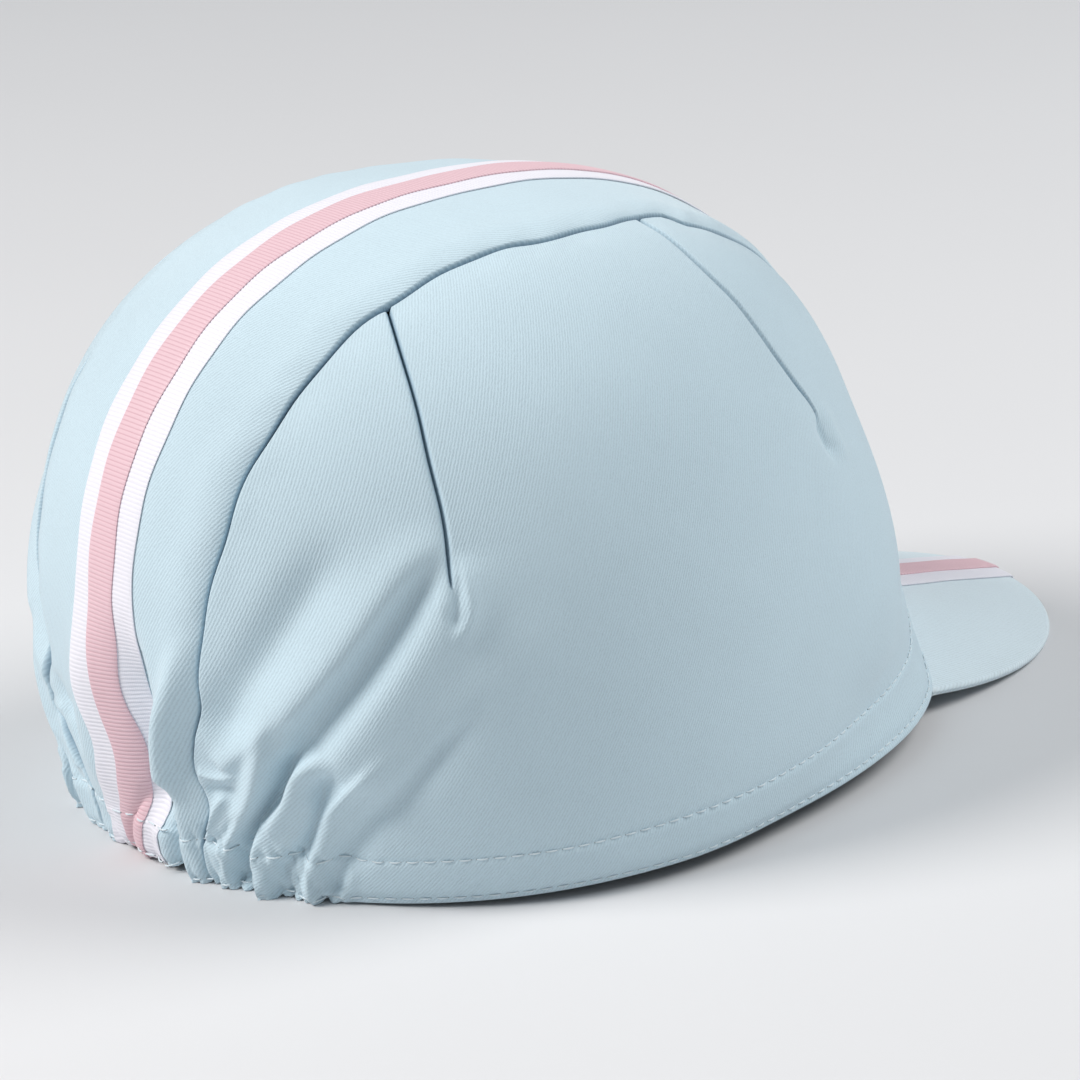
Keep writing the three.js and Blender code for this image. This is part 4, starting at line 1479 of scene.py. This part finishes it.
# Lights: name, bearing and height in degrees, distance and size in metres, watts and colour
LIGHTS = (
    ("key", -22, 41, 1.5, 0.6, 19, WARM),
    ("fill", 80, 14, 1.7, 1.3, 1.15, PLAIN),
    ("front", 152, 47, 1.6, 1.1, 16.5, PLAIN),
)


def towards(bearing, height):
    """The direction at a bearing and a height above the floor, in degrees."""
    turn, rise = math.radians(bearing), math.radians(height)
    return np.array([math.sin(turn) * math.cos(rise), -math.cos(turn) * math.cos(rise), math.sin(rise)])


def camera_axes():
    """The camera's right, up and back in the wearer's directions."""
    turn, tilt = math.radians(CAMERA_BEARING), math.radians(CAMERA_ROLL)
    back = towards(CAMERA_BEARING, CAMERA_HEIGHT)
    right = np.array([math.cos(turn), math.sin(turn), 0])
    up = np.cross(back, right)
    rolled_right = right * math.cos(tilt) + up * math.sin(tilt)
    return rolled_right, up * math.cos(tilt) - right * math.sin(tilt), back


def make_camera(lens):
    """Makes the camera, and gives the point that it aims at."""
    right, up, back = camera_axes()
    aim = np.array([0, 0, AIM_HEIGHT]) + AIM_RIGHT * right + AIM_UP * up
    camera = bpy.data.objects.new("camera", bpy.data.cameras.new("camera"))
    half_turn = np.array([-1, -1, 1])
    turned = Matrix([Vector(axis * half_turn) for axis in (right, up, back)]).transposed()
    place = Vector(to_frame(aim + CAMERA_DISTANCE * back))
    camera.matrix_world = Matrix.Translation(place) @ turned.to_4x4()
    camera.data.lens = lens
    camera.data.sensor_width = SENSOR_WIDTH
    camera.data.clip_start, camera.data.clip_end = 0.05, 50
    bpy.context.scene.collection.objects.link(camera)
    bpy.context.scene.camera = camera
    return aim


def make_floor(material):
    corners = [(x * FLOOR_HALF, y * FLOOR_HALF, 0) for x, y in ((-1, -1), (1, -1), (1, 1), (-1, 1))]
    mesh = bpy.data.meshes.new("floor")
    mesh.from_pydata(corners, [], [(0, 1, 2, 3)])
    mesh.materials.append(material)
    floor = bpy.data.objects.new("floor", mesh)
    bpy.context.scene.collection.objects.link(floor)


def make_light(aim, name, bearing, height, distance, size, watts, colour):
    light = bpy.data.lights.new(name, "AREA")
    light.shape = "DISK"
    light.size = size
    light.energy = watts
    light.color = colour
    lamp = bpy.data.objects.new(name, light)
    lamp.location = Vector(to_frame(aim + distance / MM * towards(bearing, height)))
    away = lamp.location - Vector(to_frame(aim))
    lamp.rotation_euler = away.to_track_quat("Z", "Y").to_euler()
    bpy.context.scene.collection.objects.link(lamp)


class CAP_OT_stage(CapOperator):
    """Makes the camera, the floor and the soft lights"""

    bl_idname = "cap.stage"
    bl_label = "Stage"

    def execute(self, context):
        settings = context.scene.cap_stage
        aim = make_camera(settings.lens)
        make_floor(matt_card("matt_card", settings.floor))
        for row in LIGHTS:
            make_light(aim, *row)
        world = bpy.data.worlds.new("soft_studio")
        world.use_nodes = True
        background = world.node_tree.nodes["Background"].inputs
        background["Color"].default_value = SKY
        background["Strength"].default_value = SKY_STRENGTH
        context.scene.world = world
        context.scene.view_settings.view_transform = "Standard"
        return {"FINISHED"}


class CAP_OT_center_panel(CapOperator):
    """Makes the centre panel, from the back hem over the top to the peak"""

    bl_idname = "cap.center_panel"
    bl_label = "Centre panel"

    def execute(self, context):
        piece = centre_panel(twill(context))
        join_to_frame(piece, "twill", "crown_center_panel")
        return {"FINISHED"}


class CAP_OT_side_panels(CapOperator):
    """Makes the two side panels with their darts, gathers and hems"""

    bl_idname = "cap.side_panels"
    bl_label = "Side panels"

    def execute(self, context):
        for side, node in ((1, "side_panel_right"), (-1, "side_panel_left")):
            piece = side_panel(side, twill(context))
            join_to_frame(piece, "twill", node)
        return {"FINISHED"}


def ribbon_materials(settings):
    colours = {
        "white_grosgrain": (settings.white, settings.white_gap_shade),
        "pink_grosgrain": (settings.pink, settings.pink_gap_shade),
    }
    pitch = settings.rib_pitch / MM
    return [
        bpy.data.materials.get(name) or grosgrain(name, colour, between, pitch)
        for name, (colour, between) in colours.items()
    ]


class CAP_OT_crown_ribbons(CapOperator):
    """Makes the white and pink ribbons along the crown"""

    bl_idname = "cap.crown_ribbons"
    bl_label = "Crown ribbons"

    def execute(self, context):
        settings = context.scene.cap_ribbons
        white, pink = ribbon_materials(settings)
        out = RIBBON_GAP + settings.thickness / MM
        rows = (
            ("ribbon_pink", settings.narrow, out, 13, 2.2, pink, "crown_ribbon_pink"),
            ("ribbon_white", settings.wide, RIBBON_GAP, 25, 0, white, "crown_ribbon_white"),
        )
        for name, width, lift, columns, phase, material, node in rows:
            made = ribbon_rows(width / MM / 2, columns, edge_wave(phase))
            piece = woven_ribbon(name, *made, lift, settings, material)
            join_to_frame(piece, name, node)
        return {"FINISHED"}


class CAP_OT_peak(CapOperator):
    """Makes the covered peak and the ribbons on it"""

    bl_idname = "cap.peak"
    bl_label = "Peak"

    def execute(self, context):
        settings, ribbons = context.scene.cap_peak, context.scene.cap_ribbons
        piece = peak(settings, peak_twill(context))
        join_to_frame(piece, "peak_twill", "peak")
        white, pink = ribbon_materials(ribbons)
        out = RIBBON_GAP + ribbons.thickness / MM
        rows = (
            ("ribbon_pink", ribbons.narrow, out, pink),
            ("ribbon_white", ribbons.wide, RIBBON_GAP, white),
        )
        for slot, width, lift, material in rows:
            node = "peak_" + slot
            piece = peak_ribbon(node + "_weave", width / MM / 2, lift, ribbons, settings, material)
            join_to_frame(piece, slot, node)
        return {"FINISHED"}


class CAP_OT_stitches(CapOperator):
    """Makes the stitches round the hem"""

    bl_idname = "cap.stitches"
    bl_label = "Stitches"

    def execute(self, context):
        settings = context.scene.cap_stitches
        piece = hem_stitches(settings, spun_thread("spun_thread", settings.colour))
        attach(piece, BODY)
        return {"FINISHED"}


STEPS = (
    CAP_OT_stage,
    CAP_OT_center_panel,
    CAP_OT_side_panels,
    CAP_OT_crown_ribbons,
    CAP_OT_peak,
    CAP_OT_stitches,
)
GROUPS = {
    "cap_cloth": CapCloth,
    "cap_ribbons": CapRibbons,
    "cap_peak": CapPeak,
    "cap_stitches": CapStitches,
    "cap_stage": CapStage,
}


class CAP_PT_sidebar(bpy.types.Panel):
    bl_label = "Cycling cap"
    bl_idname = "CAP_PT_sidebar"
    bl_space_type = "VIEW_3D"
    bl_region_type = "UI"
    bl_category = "Cap"

    def draw(self, context):
        for name in GROUPS:
            group = getattr(context.scene, name)
            box = self.layout.box()
            for field in group.bl_rna.properties:
                if field.identifier not in ("rna_type", "name"):
                    box.prop(group, field.identifier)
        for step in STEPS:
            self.layout.operator(step.bl_idname)


def register():
    for name, group in GROUPS.items():
        bpy.utils.register_class(group)
        setattr(bpy.types.Scene, name, bpy.props.PointerProperty(type=group))
    for step in (*STEPS, CAP_PT_sidebar):
        bpy.utils.register_class(step)


def unregister():
    for step in (CAP_PT_sidebar, *reversed(STEPS)):
        bpy.utils.unregister_class(step)
    for name, group in reversed(GROUPS.items()):
        delattr(bpy.types.Scene, name)
        bpy.utils.unregister_class(group)


def main():
    register()
    bpy.ops.cap.stage()
    bpy.ops.cap.center_panel()
    bpy.ops.cap.side_panels()
    bpy.ops.cap.crown_ribbons()
    bpy.ops.cap.peak()
    bpy.ops.cap.stitches()
    bpy.context.view_layer.update()


if __name__ == "__main__":
    main()
